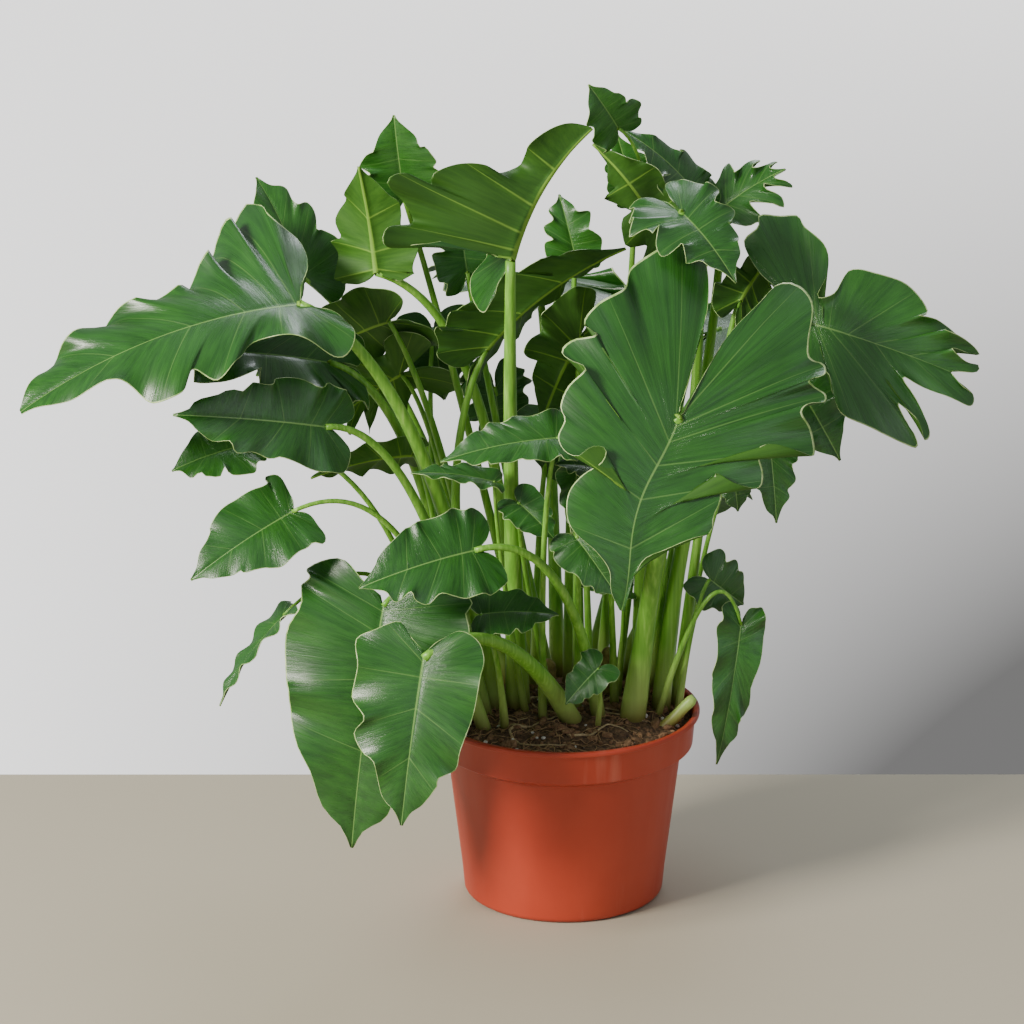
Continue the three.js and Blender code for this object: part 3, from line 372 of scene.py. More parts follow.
# foot on the soil, the point the stalk bends towards, where the blade joins, its tip, and the way it faces.
# Heights are above the soil, all in millimetres.
leaves = {
    "front_broad": dict(kind="lobed", foot=(50, -16), bend=(70, -10, 150), neck=(78, -120, 258),
        tip=(38, -165, 130), face=(0.1, -0.88, 0.45), half=0.62, lobe=0.85, stalk=8),
    "right_fingered": dict(kind="fingered", foot=(72, 6), bend=(90, 0, 270), neck=(176, -18, 300),
        tip=(295, -12, 255), face=(-0.1, -0.8, 0.55), half=0.56, lobe=0.4, stalk=6),
    "left_far": dict(kind="lobed", foot=(-50, 10), bend=(-100, -45, 280), neck=(-190, -60, 325),
        tip=(-385, -118, 262), face=(-0.15, -0.45, 0.88), arch=40, half=0.3, lobe=0.3, curl=-35, stalk=6.5),
    "left_bright": dict(kind="young", foot=(-62, 56), bend=(-110, 104, 240), neck=(-192, 52, 315),
        tip=(-228, 82, 385), face=(0.5, -0.75, 0.4), half=0.42),
    "left_upright": dict(kind="young", foot=(-34, 30), bend=(-44, 54, 296), neck=(-138, 18, 328),
        tip=(-150, 16, 408), face=(0.1, 0.9, 0.3), half=0.4, lobe=0.1, stalk=5),
    "left_under": dict(kind="heart", foot=(-50, 40), bend=(-90, 35, 222), neck=(-130, 41, 286),
        tip=(-190, 58, 250), face=(0, 0.85, 0.5), half=0.54, lobe=0.36),
    "top_left": dict(kind="young", foot=(-22, 50), bend=(-90, 55, 285), neck=(-118, 54, 375),
        tip=(-125, 42, 440), face=(-0.1, -0.9, 0.3), half=0.5),
    "left_second": dict(kind="lobed", foot=(-74, 34), bend=(-100, 15, 240), neck=(-172, 4, 264),
        tip=(-335, -36, 278), face=(-0.1, -0.68, 0.72), fold=10, half=0.24, lobe=0.2),
    "left_third": dict(kind="heart", foot=(-58, -4), bend=(-105, -40, 235), neck=(-172, -74, 238),
        tip=(-278, -112, 258), face=(-0.1, -0.9, 0.42), half=0.28, lobe=0.2, stalk=4.5),
    "left_small": dict(kind="young", foot=(-86, 0), bend=(-125, -34, 232), neck=(-236, -34, 212),
        tip=(-285, -50, 198), face=(-0.2, -0.7, 0.6), stalk=2.6),
    "left_dark": dict(kind="narrow", foot=(-76, 4), bend=(-98, -2, 190), neck=(-112, -2, 196),
        tip=(-186, -22, 184), face=(0, 0.8, 0.5), half=0.24),
    "left_low": dict(kind="heart", foot=(-68, -12), bend=(-110, -40, 210), neck=(-198, -60, 170),
        tip=(-270, -90, 128), face=(-0.1, -0.8, 0.55), half=0.38, lobe=0.1, stalk=3),
    "left_narrow": dict(kind="narrow", foot=(-84, 18), bend=(-120, 10, 160), neck=(-205, -62, 92),
        tip=(-252, -85, 30), face=(-0.8, -0.2, 0.55), half=0.2, stalk=2.4),
    "drooping_large": dict(kind="heart", foot=(-58, -34), bend=(-100, -50, 140), neck=(-132, -78, 104),
        tip=(-156, -108, -72), face=(-0.15, -0.93, 0.3), half=0.36, lobe=0.14, stalk=4.5),
    "drooping_front": dict(kind="heart", foot=(8, -22), bend=(-45, -100, 120), neck=(-102, -135, 84),
        tip=(-118, -165, -32), face=(-0.1, -0.95, 0.3), half=0.38, lobe=0.17, stalk=6.5),
    "centre_left": dict(kind="heart", foot=(26, -12), bend=(5, -84, 170), neck=(-66, -95, 152),
        tip=(-148, -120, 132), face=(-0.05, -0.8, 0.6), half=0.4, lobe=0.2, stalk=4.5),
    "centre_small": dict(kind="heart", foot=(-44, -32), bend=(-48, -60, 70), neck=(-62, -72, 96),
        tip=(-5, -62, 92), face=(0.05, -0.55, 0.83), half=0.4, lobe=0.15, stalk=2.8),
    "centre_bright": dict(kind="narrow", foot=(-16, -22), bend=(-20, -70, 190), neck=(-6, -94, 236),
        tip=(-90, -107, 222), face=(-0.1, -0.55, 0.8)),
    "centre_round": dict(kind="heart", foot=(38, 10), bend=(34, -20, 125), neck=(26, -66, 204),
        tip=(-8, -74, 210), face=(0, -0.5, 0.85), stalk=2.8),
    "centre_down": dict(kind="narrow", foot=(20, 12), bend=(14, -10, 190), neck=(8, -56, 205),
        tip=(4, -74, 158), face=(0.1, -0.9, 0.4)),
    "centre_dark": dict(kind="heart", foot=(-8, 8), bend=(-36, -12, 130), neck=(-34, -38, 170),
        tip=(-8, -50, 146), face=(0, -0.7, 0.7), stalk=2.8),
    "centre_right": dict(kind="heart", foot=(10, -2), bend=(10, -35, 165), neck=(8, -60, 150),
        tip=(38, -70, 108), face=(-0.1, -0.8, 0.6), half=0.42, lobe=0.2, stalk=2.8),
    "low_dark": dict(kind="heart", foot=(40, 24), bend=(46, 26, 60), neck=(44, 24, 84), tip=(12, 20, 86),
        face=(0, -0.3, 0.95), stalk=2.4),
    "tiny_front": dict(kind="heart", foot=(24, -34), bend=(28, -48, 35), neck=(24, -54, 48),
        tip=(0, -66, 24), face=(-0.2, -0.85, 0.45), stalk=2),
    "right_round": dict(kind="heart", foot=(84, -4), bend=(94, -2, 80), neck=(108, 8, 96),
        tip=(134, 14, 74), face=(0, -0.9, 0.3), half=0.62, lobe=0.4, stalk=2.6),
    "right_wavy": dict(kind="narrow", foot=(68, -8), bend=(110, -26, 150), neck=(131, -8, 66),
        tip=(114, -16, -42), face=(0.2, -0.95, 0.2), half=0.17, stalk=2.2),
    "centre_top": dict(kind="lobed", foot=(-34, 8), bend=(-42, -26, 180), neck=(-40, -50, 354),
        tip=(18, -20, 444), face=(-0.45, 0.55, 0.75), half=0.64, lobe=0.16, fold=46, curl=8, stalk=7.5),
    "centre_middle": dict(kind="lobed", foot=(-60, 22), bend=(-102, -14, 190), neck=(-58, 4, 274),
        tip=(44, 28, 344), face=(-0.2, 0.75, 0.6), half=0.36, lobe=0.25, fold=28, stalk=4.5),
    "upper_right": dict(kind="lobed", foot=(58, 26), bend=(55, 30, 220), neck=(76, 25, 345),
        tip=(20, 45, 418), face=(0.4, 0.75, 0.5), half=0.5, lobe=0.32, stalk=6),
    "upper_right_flap": dict(kind="lobed", foot=(52, 8), bend=(95, -20, 250), neck=(82, -30, 385),
        tip=(120, -66, 342), face=(0.1, -0.6, 0.8), half=0.55, lobe=0.5, stalk=5),
    "top_grey": dict(kind="lobed", foot=(74, 34), bend=(108, 50, 285), neck=(98, 47, 378),
        tip=(36, 54, 430), face=(0.1, -0.45, 0.9), half=0.34, lobe=0.2),
    "top_tiny": dict(kind="young", foot=(40, 52), bend=(90, 72, 396), neck=(38, 24, 434), tip=(16, 6, 470),
        face=(0, -0.9, 0.4), stalk=2.4),
    "top_dark": dict(kind="young", foot=(28, 66), bend=(50, 80, 280), neck=(52, 75, 375), tip=(38, 70, 420),
        face=(-0.2, -0.9, 0.4), half=0.4),
    "right_star": dict(kind="fingered", foot=(62, 50), bend=(120, 55, 290), neck=(114, 62, 365),
        tip=(162, 66, 395), face=(0.1, -0.5, 0.85)),
    "right_under": dict(kind="lobed", foot=(84, 22), bend=(115, 25, 275), neck=(128, 28, 305),
        tip=(158, 34, 345), face=(0.2, 0.8, 0.6), half=0.5, lobe=0.4, stalk=4),
    "right_dark": dict(kind="lobed", foot=(38, 80), bend=(145, 60, 245), neck=(170, 45, 240),
        tip=(205, 35, 180), face=(0.1, -0.95, 0.3), half=0.5, lobe=0.4),
    "right_drip": dict(kind="narrow", foot=(50, 68), bend=(130, 60, 235), neck=(152, 40, 200),
        tip=(158, 26, 134), face=(0.1, -0.95, 0.2)),
    "behind_broad": dict(kind="heart", foot=(83, 33), bend=(110, 44, 150), neck=(126, 46, 170),
        tip=(130, 42, 138), face=(0, -0.95, 0.3), stalk=2.4),
    "top_left_dark": dict(kind="young", foot=(-8, 60), bend=(-60, 60, 245), neck=(-72, 50, 320),
        tip=(-84, 58, 378), face=(0.3, -0.8, 0.5)),
    "back_top": dict(kind="young", foot=(4, 70), bend=(5, 75, 255), neck=(8, 80, 325), tip=(-4, 90, 370),
        face=(0, -0.9, 0.4)),
    "back_centre": dict(kind="lobed", foot=(12, 34), bend=(8, 62, 215), neck=(12, 66, 268),
        tip=(-18, 56, 200), face=(0, 0.8, 0.5), half=0.5, stalk=4),
    "star_dark": dict(kind="fingered", foot=(-62, 42), bend=(-90, 66, 205), neck=(-122, 60, 240),
        tip=(-172, 58, 204), face=(0, 0.9, 0.4), half=0.6, lobe=0.6, stalk=3),
    "behind_left": dict(kind="heart", foot=(-84, 36), bend=(-106, 66, 190), neck=(-98, 88, 266),
        tip=(-90, 94, 210), face=(0, -0.9, 0.4), half=0.5, stalk=3),
    "behind_middle": dict(kind="lobed", foot=(-24, 84), bend=(-34, 116, 150), neck=(-52, 114, 214),
        tip=(-46, 114, 158), face=(0.1, -0.9, 0.35), half=0.5, lobe=0.4, stalk=3),
    "behind_stem": dict(kind="heart", foot=(-22, 66), bend=(-20, 92, 150), neck=(-8, 94, 194),
        tip=(0, 92, 142), face=(-0.1, -0.9, 0.35), half=0.5, stalk=3),
    "thin_yellow": dict(kind="narrow", foot=(-28, -6), bend=(-50, -30, 125), neck=(-52, -50, 190),
        tip=(-112, -62, 200), face=(0, -0.4, 0.9), half=0.2, stalk=2.4),
    "back_left": dict(kind="lobed", foot=(-40, 66), bend=(-110, 110, 220), neck=(-158, 160, 240),
        tip=(-240, 235, 190), face=(-0.4, 0.5, 0.8), lobe=0.4),
    "back_middle": dict(kind="lobed", foot=(-4, 84), bend=(-10, 130, 260), neck=(-20, 180, 280),
        tip=(-60, 300, 240), face=(0, 0.5, 0.85)),
    "back_right": dict(kind="lobed", foot=(18, 84), bend=(80, 120, 250), neck=(120, 150, 250),
        tip=(200, 250, 210), face=(0.4, 0.5, 0.8)),
    "back_low": dict(kind="heart", foot=(60, 62), bend=(80, 120, 140), neck=(90, 150, 130),
        tip=(120, 235, 70), face=(0.2, 0.5, 0.85)),
}


stalk = {"sides": 14, "steps": 26, "taper": 0.5, "sheath": 0.25, "sheathReach": 0.2}
blade = {"marginSteps": 400, "crimp": 1.1, "quilt": 0.0035, "lump": 0.014, "edge": 0.45, "middle": 0.35}


def grown(name, row):
    leaf = dict({"crimp": blade["crimp"]}, **leafKinds[row["kind"]])
    leaf.update(row)
    leaf.update(ownMargins.get(name, {}))
    for angle in ("arch", "fold", "curl"):
        leaf[angle] = math.radians(leaf[angle])
    lift = Vector((0, 0, soilTop))
    leaf["neck"] = Vector(row["neck"]) + lift
    leaf["bend"] = Vector(row["bend"]) + lift
    x, y = row["foot"]
    leaf["foot"] = Vector((x, y, soilHeight(x, y) - ground["rootDepth"]))
    chord = Vector(row["tip"]) + lift - leaf["neck"]
    leaf["length"] = chord.length * leaf["arch"] / 2 / math.sin(leaf["arch"] / 2)
    leaf["chord"] = chord.normalized()
    face = Vector(row["face"])
    leaf["up"] = (face - leaf["chord"] * face.dot(leaf["chord"])).normalized()
    leaf["side"] = leaf["chord"].cross(leaf["up"])
    leaf["seed"] = sum(ord(c) * (i + 3) for i, c in enumerate(name)) % 97 / 97
    return leaf


# evenly spaced points (along, across) in mm round one side, each kind's own shape a little varied
def sideMargin(leaf, hand):
    own = leaf.get("right" if hand > 0 else "left")
    length, chance = leaf["length"], random.Random(leaf["seed"] * 50 + hand)
    corners = []
    for i, (along, across) in enumerate(own or margins[leaf["kind"]]):
        if not own:
            vary = 0.0 if i == 0 or along > 0.85 else 1.0
            across = across * (1 + 0.14 * vary * chance.uniform(-1, 1)) * leaf["half"]
            along = along * (leaf["lobe"] if along < 0 else 1) + 0.03 * vary * chance.uniform(-1, 1)
        corners.append(Vector((along, across)) * length)
    dense = []
    for i in range(len(corners) - 1):
        a, b, c, d = (corners[min(max(k, 0), len(corners) - 1)] for k in (i - 1, i, i + 1, i + 2))
        for step in range(10):
            w = step / 10
            square, cube = 2 * a - 5 * b + 4 * c - d, 3 * b - a - 3 * c + d
            dense.append((2 * b + (c - a) * w + square * w**2 + cube * w**3) / 2)
    dense.append(corners[-1])
    run = [0.0]
    for a, b in zip(dense, dense[1:]):
        run.append(run[-1] + (b - a).length)
    even, k = [], 0
    for i in range(blade["marginSteps"] + 1):
        target = run[-1] * i / blade["marginSteps"]
        while k < len(run) - 2 and run[k + 1] < target:
            k += 1
        even.append(dense[k].lerp(dense[k + 1], (target - run[k]) / max(1e-9, run[k + 1] - run[k])))
    return even


# how far each place round the margin is from the part of the midrib that feeds it
def marginReach(leaf, margin):
    full = blade["marginSteps"]
    return [(p - Vector((0.8 * leaf["length"] * (i / full) ** 3, 0))).length for i, p in enumerate(margin)]


# where round the margin the lateral ribs end: at the lobes that stand out most, or evenly if there are few
def lobeTips(leaf, margin, count):
    reach = marginReach(leaf, margin)
    full, tips = blade["marginSteps"], []
    for i in range(16, full - 24):
        near = reach[max(0, i - 14) : i + 15]
        if reach[i] == max(near):
            tips.append((reach[i] - min(reach[max(0, i - 45) : i + 46]), i))
    chosen = sorted(i for _, i in sorted(tips, reverse=True)[:count])
    if len(chosen) < count:
        chosen = [int(full * (k + 0.75) / (count + 0.6)) for k in range(count)]
    return [i / full for i in chosen]


# how far each place round the margin stands out past its neighbourhood, as a share of the midrib
def lobeSwell(leaf, margin):
    reach = marginReach(leaf, margin)
    swell = []
    for i in range(blade["marginSteps"] + 1):
        near = reach[max(0, i - 26) : i + 27]
        swell.append((reach[i] - sum(near) / len(near)) / leaf["length"])
    return swell


def follow(marks, places, t):
    for (a, b), (c, d) in zip(zip(marks, marks[1:]), zip(places, places[1:])):
        if t <= b:
            return c + (d - c) * (t - a) / (b - a)
    return places[-1]


def sheetPoint(leaf, along, across, hand, lift):
    rate = leaf["arch"] / leaf["length"]
    slope = leaf["arch"] / 2 - rate * along
    forward = (math.sin(leaf["arch"] / 2) - math.sin(slope)) / rate
    rise = (math.cos(slope) - math.cos(leaf["arch"] / 2)) / rate
    up = leaf["up"] * math.cos(slope) - leaf["chord"] * math.sin(slope)
    rate = leaf["curl"] / (leaf["half"] * leaf["length"])
    tilt = leaf["fold"] + rate * across
    out = (math.sin(tilt) - math.sin(leaf["fold"])) / rate
    high = (math.cos(leaf["fold"]) - math.cos(tilt)) / rate
    return (leaf["neck"] + leaf["chord"] * forward + leaf["up"] * rise
            + leaf["side"] * hand * (out - lift * math.sin(tilt)) + up * (high + lift * math.cos(tilt)))


def buildBlade(bm, leaf):
    columns, count = leaf["across"], leaf["veins"]
    rows = leaf["perVein"] * (count + 1)
    marks = [k / (count + 1) for k in range(count + 2)]
    edges = {hand: sideMargin(leaf, hand) for hand in (-1, 1)}
    swells = {hand: lobeSwell(leaf, edges[hand]) for hand in (-1, 1)}
    tips = {hand: [0.0] + lobeTips(leaf, edges[hand], count) + [1.0] for hand in (-1, 1)}
    longest, ribEnd, sway = leaf["length"], leaf.get("ribEnd", 1.0), leaf.get("sway", 0.0)
    full = blade["marginSteps"]

    def flat(t, share, hand):
        rib = longest * ribEnd * t**2.4
        root = Vector((rib, hand * sway * longest * math.sin(math.pi * rib / longest) ** 2))
        place = follow(marks, tips[hand], t) * full
        k = min(int(place), full - 1)
        edge = edges[hand][k].lerp(edges[hand][k + 1], place - k)
        return root.lerp(edge, share), swells[hand][k] * min(1.0, place / 60) * min(1.0, (full - place) / 50)

    uv = bm.loops.layers.uv.new("leafMap")
    layers = {n: bm.verts.layers.float.new(n) for n in ("toMidrib", "toLateral", "youth", "thick")}
    bmesh.ops.create_grid(bm, x_segments=2 * columns, y_segments=rows, size=1.0)
    for face in bm.faces:
        for loop in face.loops:
            loop[uv].uv = (loop.vert.co.x, (loop.vert.co.y + 1) / 2 * (count + 1))
            if abs(loop.vert.co.x) > 0.999:
                face.material_index = 2  # the outermost strip is the pale margin, partly a painted highlight
    for vert in bm.verts:
        hand = -1 if vert.co.x < 0 else 1
        step = abs(vert.co.x) * columns
        share = 1.0 if step > columns - 0.5 else 0.987 * (step / (columns - 1)) ** 1.3
        t = (vert.co.y + 1) / 2
        spot, swell = flat(t, share, hand)
        place, across = spot
        phase = 2 * math.pi * t * (count + 1)
        fade = min(1.0, 4 * t) * min(1.0, 5 * (1 - t))
        ripple = math.cos(phase + 0.7 * hand + 5 * leaf["seed"])
        wave = -0.5 * leaf["ruffle"] * longest * share**2.2 * fade * ripple
        wave -= leaf["crimp"] * swell * longest * share**5
        for side, amount, along in leaf.get("raised", []):
            lobe = max(0.0, 1 - max(0.0, place) / (along * longest)) if side == hand else 0.0
            wave += amount * longest * (lobe * across / (0.4 * longest)) ** 2
        pucker = math.sin(math.pi * share**0.8) * (0.5 - 0.5 * math.cos(phase)) * fade
        quilt = blade["quilt"] * longest * pucker
        groove = -0.4 * math.exp(-((across / 1.6) ** 2)) * (share < 0.8)
        unevenness = noise.noise(Vector((place, across * hand, 90 * leaf["seed"])) / 30)
        lump = blade["lump"] * longest * share * unevenness
        facing = -hand if across < 0 else hand
        vert.co = sheetPoint(leaf, place, abs(across), facing, wave + quilt + groove + lump) * mm
        ripe = min(1.0, max(0.0, place / longest))
        rib = flat(t, 0.0, hand)[0]
        vert[layers["toMidrib"]] = (spot - rib).length / (0.25 + 0.13 * leaf["stalk"] * (1 - 0.9 * ripe))
        mark = min(count, max(1, round(t * (count + 1)))) / (count + 1)
        gap = (spot - flat(mark, share, hand)[0]).length
        ribHalf = 0.18 + 0.1 * leaf["stalk"] * (1 - share)
        vert[layers["toLateral"]] = gap / ribHalf + 3 * max(0, share - 0.92)
        vert[layers["youth"]] = leaf["youth"] + 0.25 * max(0, noise.noise(Vector((place, across, 7)) / 40))
        height = leaf["stalk"] * 0.4 * (1 - 0.9 * ripe)
        ridge = height * math.exp(-(((spot - rib).length / (0.9 + 0.3 * leaf["stalk"] * (1 - ripe))) ** 2))
        sideRib = 0.16 * leaf["stalk"] * (1 - share) * math.exp(-((gap / 1.6) ** 2)) * min(1, 4 * share)
        vert[layers["thick"]] = (blade["edge"] + blade["middle"] * (1 - share) + ridge + sideRib) * mm
    bm.normal_update()
    top = list(bm.faces)
    facing = sum((f.normal * f.calc_area() for f in top), Vector())
    if facing.dot(leaf["up"]) < 0:
        bmesh.ops.reverse_faces(bm, faces=top)
        bm.normal_update()
    out = bm.verts.layers.float_vector.new("out")
    thick = bm.verts.layers.float["thick"]
    for vert in bm.verts:
        vert[out] = vert.normal
    under = bmesh.ops.extrude_face_region(bm, geom=top + list(bm.edges) + list(bm.verts), use_keep_orig=True)
    lower = {g for g in under["geom"] if isinstance(g, bmesh.types.BMFace)}
    for vert in [g for g in under["geom"] if isinstance(g, bmesh.types.BMVert)]:
        vert.co -= vert[out] * vert[thick]
    upper = set(top)
    for face in bm.faces:
        if face in lower:
            face.material_index = 1
        elif face not in upper:
            face.material_index = 2
    bmesh.ops.recalc_face_normals(bm, faces=bm.faces)
    bm.verts.layers.float_vector.remove(bm.verts.layers.float_vector["out"])
    bm.verts.layers.float.remove(bm.verts.layers.float["thick"])


def buildLeaf(name, row):
    leaf = grown(name, row)
    bm = bmesh.new()
    buildBlade(bm, leaf)
    points, radii = [], []
    for i in range(stalk["steps"] + 1):
        share = i / stalk["steps"]
        points.append(bezier(leaf["foot"], leaf["bend"], leaf["neck"], share) * mm)
        sheath = 1 + stalk["sheath"] * math.exp(-((share / stalk["sheathReach"]) ** 2))
        radii.append(leaf["stalk"] * (1 - stalk["taper"] * share) * sheath * mm)
    sweep(bm, points, radii, stalk["sides"], 3)
    addPiece(name, bm, [waxyLeaf, paleUnderside, paleMarginWithPaintedHighlight, freshStalk], ["leaf_" + name])


for name, row in leaves.items():
    buildLeaf(name, row)
print("leaves grown:", len(leaves))


crowns = {
    "crown_left": dict(at=(-12, 30), radius=7.5, height=26, rings=4),
    "crown_right": dict(at=(34, 40), radius=7.5, height=34, rings=5),
}
stubs = {
    "stub_front": dict(start=(68, -26, -4), end=(96, -26, 24), radius=5),
    "stub_middle": dict(start=(78, 44, -4), end=(90, 54, 34), radius=3),
}


def knobbly(bm, size, amount):
    bm.normal_update()
    shift = {v: noise.noise(v.co / (size * mm)) * amount * mm for v in bm.verts}
    for vert, push in shift.items():
        vert.co += vert.normal * push


for name, crown in crowns.items():
    x, y = crown["at"]
    base = soilHeight(x, y) - ground["rootDepth"]
    points, radii = [], []
    steps = crown["rings"] * 8
    for i in range(steps + 1):
        share = i / steps
        points.append(Vector((x, y, base + share * (crown["height"] + ground["rootDepth"]))) * mm)
        scar = 1 + 0.07 * max(0.0, math.cos(2 * math.pi * share * crown["rings"])) ** 4
        dome = 1 - 0.75 * max(0.0, (share - 0.86) / 0.14) ** 2
        radii.append(crown["radius"] * (1 - 0.2 * share) * scar * dome * 0.95 * mm)
    bm = bmesh.new()
    sweep(bm, points, radii, 28, 0)
    knobbly(bm, 6, 0.8)
    addPiece(name, bm, [corkyStem], [name])

for name, stub in stubs.items():
    start, end = (Vector(stub[k]) + Vector((0, 0, soilHeight(*stub[k][:2]))) for k in ("start", "end"))
    start.z -= ground["rootDepth"] - 2
    points = [start.lerp(end, i / 12) * mm for i in range(13)]
    radii = [stub["radius"] * (1 - 0.2 * i / 12) * (0.72 if i == 12 else 1) * mm for i in range(13)]
    bm = bmesh.new()
    sweep(bm, points, radii, 18, 0)
    knobbly(bm, 7, 0.5)
    addPiece(name, bm, [freshStalk], [name])
print("crowns and stubs done")


# a closed solid from (radius, height) pairs that run from the axis round to the axis
def spun(bm, profile, segments):
    verts = [bm.verts.new((r * mm, 0, z * mm)) for r, z in profile]
    edges = [bm.edges.new(pair) for pair in zip(verts, verts[1:])]
    bmesh.ops.spin(bm, geom=verts + edges, axis=(0, 0, 1), cent=(0, 0, 0), angle=2 * math.pi, steps=segments,
                   use_merge=True)
    bmesh.ops.remove_doubles(bm, verts=bm.verts, dist=0.001 * mm)
    bmesh.ops.recalc_face_normals(bm, faces=bm.faces)


def arc(centre, radius, start, end, steps):
    turn = [math.radians(start + (end - start) * i / steps) for i in range(steps + 1)]
    return [(centre[0] + radius * math.cos(a), centre[1] + radius * math.sin(a)) for a in turn]


def potProfile():
    p = pot
    rim, lipUnder = p["rimRadius"], p["rimRadius"] - p["lipOverhang"]
    bandFoot = p["height"] - p["rimBand"]
    bandOut = lipUnder - p["rimTaper"]
    bodyTop = bandOut - p["bandStep"]
    bodyHeight = bandFoot - p["shoulder"]
    corner = p["baseCorner"]
    outside = [(0, 0.6), (p["baseRadius"] - corner - 6, 0.6), (p["baseRadius"] - corner - 4, 0)]
    outside += arc((p["baseRadius"] - corner, corner), corner, -90, -4, 6)
    outside += [(p["baseRadius"] + 1.4, 20), (p["baseRadius"] + 6.5, 62), (bodyTop - 0.5, bodyHeight - 3)]
    outside += [(bodyTop, bodyHeight), (bodyTop + 0.9, bodyHeight + 0.3)]
    outside += arc((bandOut - 1.6, bandFoot + 1.6), 1.6, -80, 0, 5)
    lipFoot = p["height"] - p["lipDepth"]
    outside += [(lipUnder - 0.3, lipFoot - 1.2), (lipUnder + 0.4, lipFoot)]
    outside += arc((rim - 1.3, lipFoot + 1.3), 1.3, -80, 0, 4)
    outside += arc((rim - 1.5, p["height"] - 1.5), 1.5, 10, 90, 5)
    inside = [(rim - 3.4, p["height"]), (rim - 4.6, p["height"] - 0.8)]
    inside += [(bandOut - p["wall"] + 0.8, p["height"] - 8), (bandOut - p["wall"], bandFoot + 4)]
    inside += [(bodyTop - p["wall"], bodyHeight + 1.6), (p["baseRadius"] - p["wall"] - 1, corner + 3)]
    inside += [(p["baseRadius"] - corner - 1, p["floor"]), (0, p["floor"])]
    return outside + inside


def cutWith(piece, cutters):
    for cutter in cutters:
        step = piece.modifiers.new("cut", "BOOLEAN")
        step.operation = "DIFFERENCE"
        step.solver = "EXACT"
        step.object = cutter
    graph = bpy.context.evaluated_depsgraph_get()
    done = bpy.data.meshes.new_from_object(piece.evaluated_get(graph))
    piece.modifiers.clear()
    piece.data = done
    for cutter in cutters:
        bpy.data.objects.remove(cutter)


def cutterFrom(name, bm):
    mesh = bpy.data.meshes.new(name)
    bm.to_mesh(mesh)
    bm.free()
    cutter = bpy.data.objects.new(name, mesh)
    bpy.context.scene.collection.objects.link(cutter)
    return cutter


bm = bmesh.new()
spun(bm, potProfile(), 180)
potPiece = addPiece("pot", bm, [potPlastic], ["pot"])

bm = bmesh.new()
for i in range(pot["notches"]):
    turn = Matrix.Rotation(math.radians(pot["notchStart"] + 90 * i), 4, "Z")
    where = turn @ Matrix.Translation((pot["baseRadius"] * mm, 0, 0))
    size = Matrix.Diagonal((24 * mm, pot["notchWidth"] * mm, 2 * pot["notchHeight"] * mm, 1))
    bmesh.ops.create_cube(bm, size=1, matrix=where @ size)
for i in range(pot["drainHoles"]):
    turn = Matrix.Rotation(2 * math.pi * (i + 0.5) / pot["drainHoles"], 4, "Z")
    where = turn @ Matrix.Translation((pot["baseRadius"] * 0.66 * mm, 0, 0))
    bmesh.ops.create_cone(bm, cap_ends=True, radius1=pot["drainRadius"] * mm, radius2=pot["drainRadius"] * mm,
                          depth=12 * mm, segments=24, matrix=where)
cutWith(potPiece, [cutterFrom("drainage", bm)])
for face in potPiece.data.polygons:
    face.use_smooth = True
potPiece.data.set_sharp_from_angle(angle=math.radians(38))
print("pot turned")


litter = {"barkBits": 230, "fibres": 260, "grains": 46, "surfaceRoots": 7}


def ruggedness(x, y):
    at = Vector((x, y, 0))
    coarse = noise.noise(at / 19) * 3.2 + noise.noise(at / 8) * 1.9
    return coarse + noise.noise(at / 3.4) * 1.1 + noise.noise(at / 1.5) * 0.5


def surfaceAt(x, y):
    return soilHeight(x, y) - 1.5 + ruggedness(x, y)


def soilBody():
    bandInside = pot["rimRadius"] - pot["lipOverhang"] - pot["rimTaper"] - pot["wall"] - 0.3
    bodyInside = bandInside - pot["bandStep"]
    bandFoot = pot["height"] - pot["rimBand"]
    rings = 84
    profile = [(0, pot["floor"] + 0.3), (pot["baseRadius"] - pot["baseCorner"], pot["floor"] + 0.3)]
    profile += [(bodyInside, bandFoot - 2), (bandInside, bandFoot + 6)]
    profile += [(bandInside * (1 - i / rings), soilTop + 50) for i in range(rings)] + [(0, soilTop + 50)]
    bm = bmesh.new()
    spun(bm, profile, 420)
    for vert in bm.verts:
        if vert.co.z > (soilTop + 25) * mm:
            vert.co.z = surfaceAt(vert.co.x / mm, vert.co.y / mm) * mm
    return bm


addPiece("soil", soilBody(), [moistPeat], ["soil"])

reach = pot["rimRadius"] - 12


def onSoil(limit=1.0):
    angle, out = random.uniform(0, 2 * math.pi), math.sqrt(random.random()) * reach * limit
    x, y = out * math.cos(angle), out * math.sin(angle)
    return Vector((x, y, surfaceAt(x, y)))


def insidePot(x, y):
    out = math.hypot(x, y)
    return (x * reach / out, y * reach / out) if out > reach else (x, y)


def barkBits():
    bm = bmesh.new()
    for _ in range(litter["barkBits"]):
        length = random.choice((2.5, 3.5, 5, 7, 11)) * random.uniform(0.7, 1.2)
        size = (length, length * random.uniform(0.3, 0.6), random.uniform(0.9, 2.4))
        turn = Matrix.Rotation(random.uniform(0, 6.3), 4, "Z")
        turn = turn @ Matrix.Rotation(random.gauss(0, 0.35), 4, "X")
        turn = turn @ Matrix.Rotation(random.gauss(0, 0.3), 4, "Y")
        where = Matrix.Translation((onSoil() + Vector((0, 0, size[2] * 0.15))) * mm)
        chip = bmesh.ops.create_cube(bm, size=mm, matrix=where @ turn @ Matrix.Diagonal((*size, 1)))
        edges = list({e for v in chip["verts"] for e in v.link_edges})
        bmesh.ops.subdivide_edges(bm, edges=edges, cuts=2, use_grid_fill=True, smooth=0.35)
    knobbly(bm, 2.2, 0.55)
    return bm


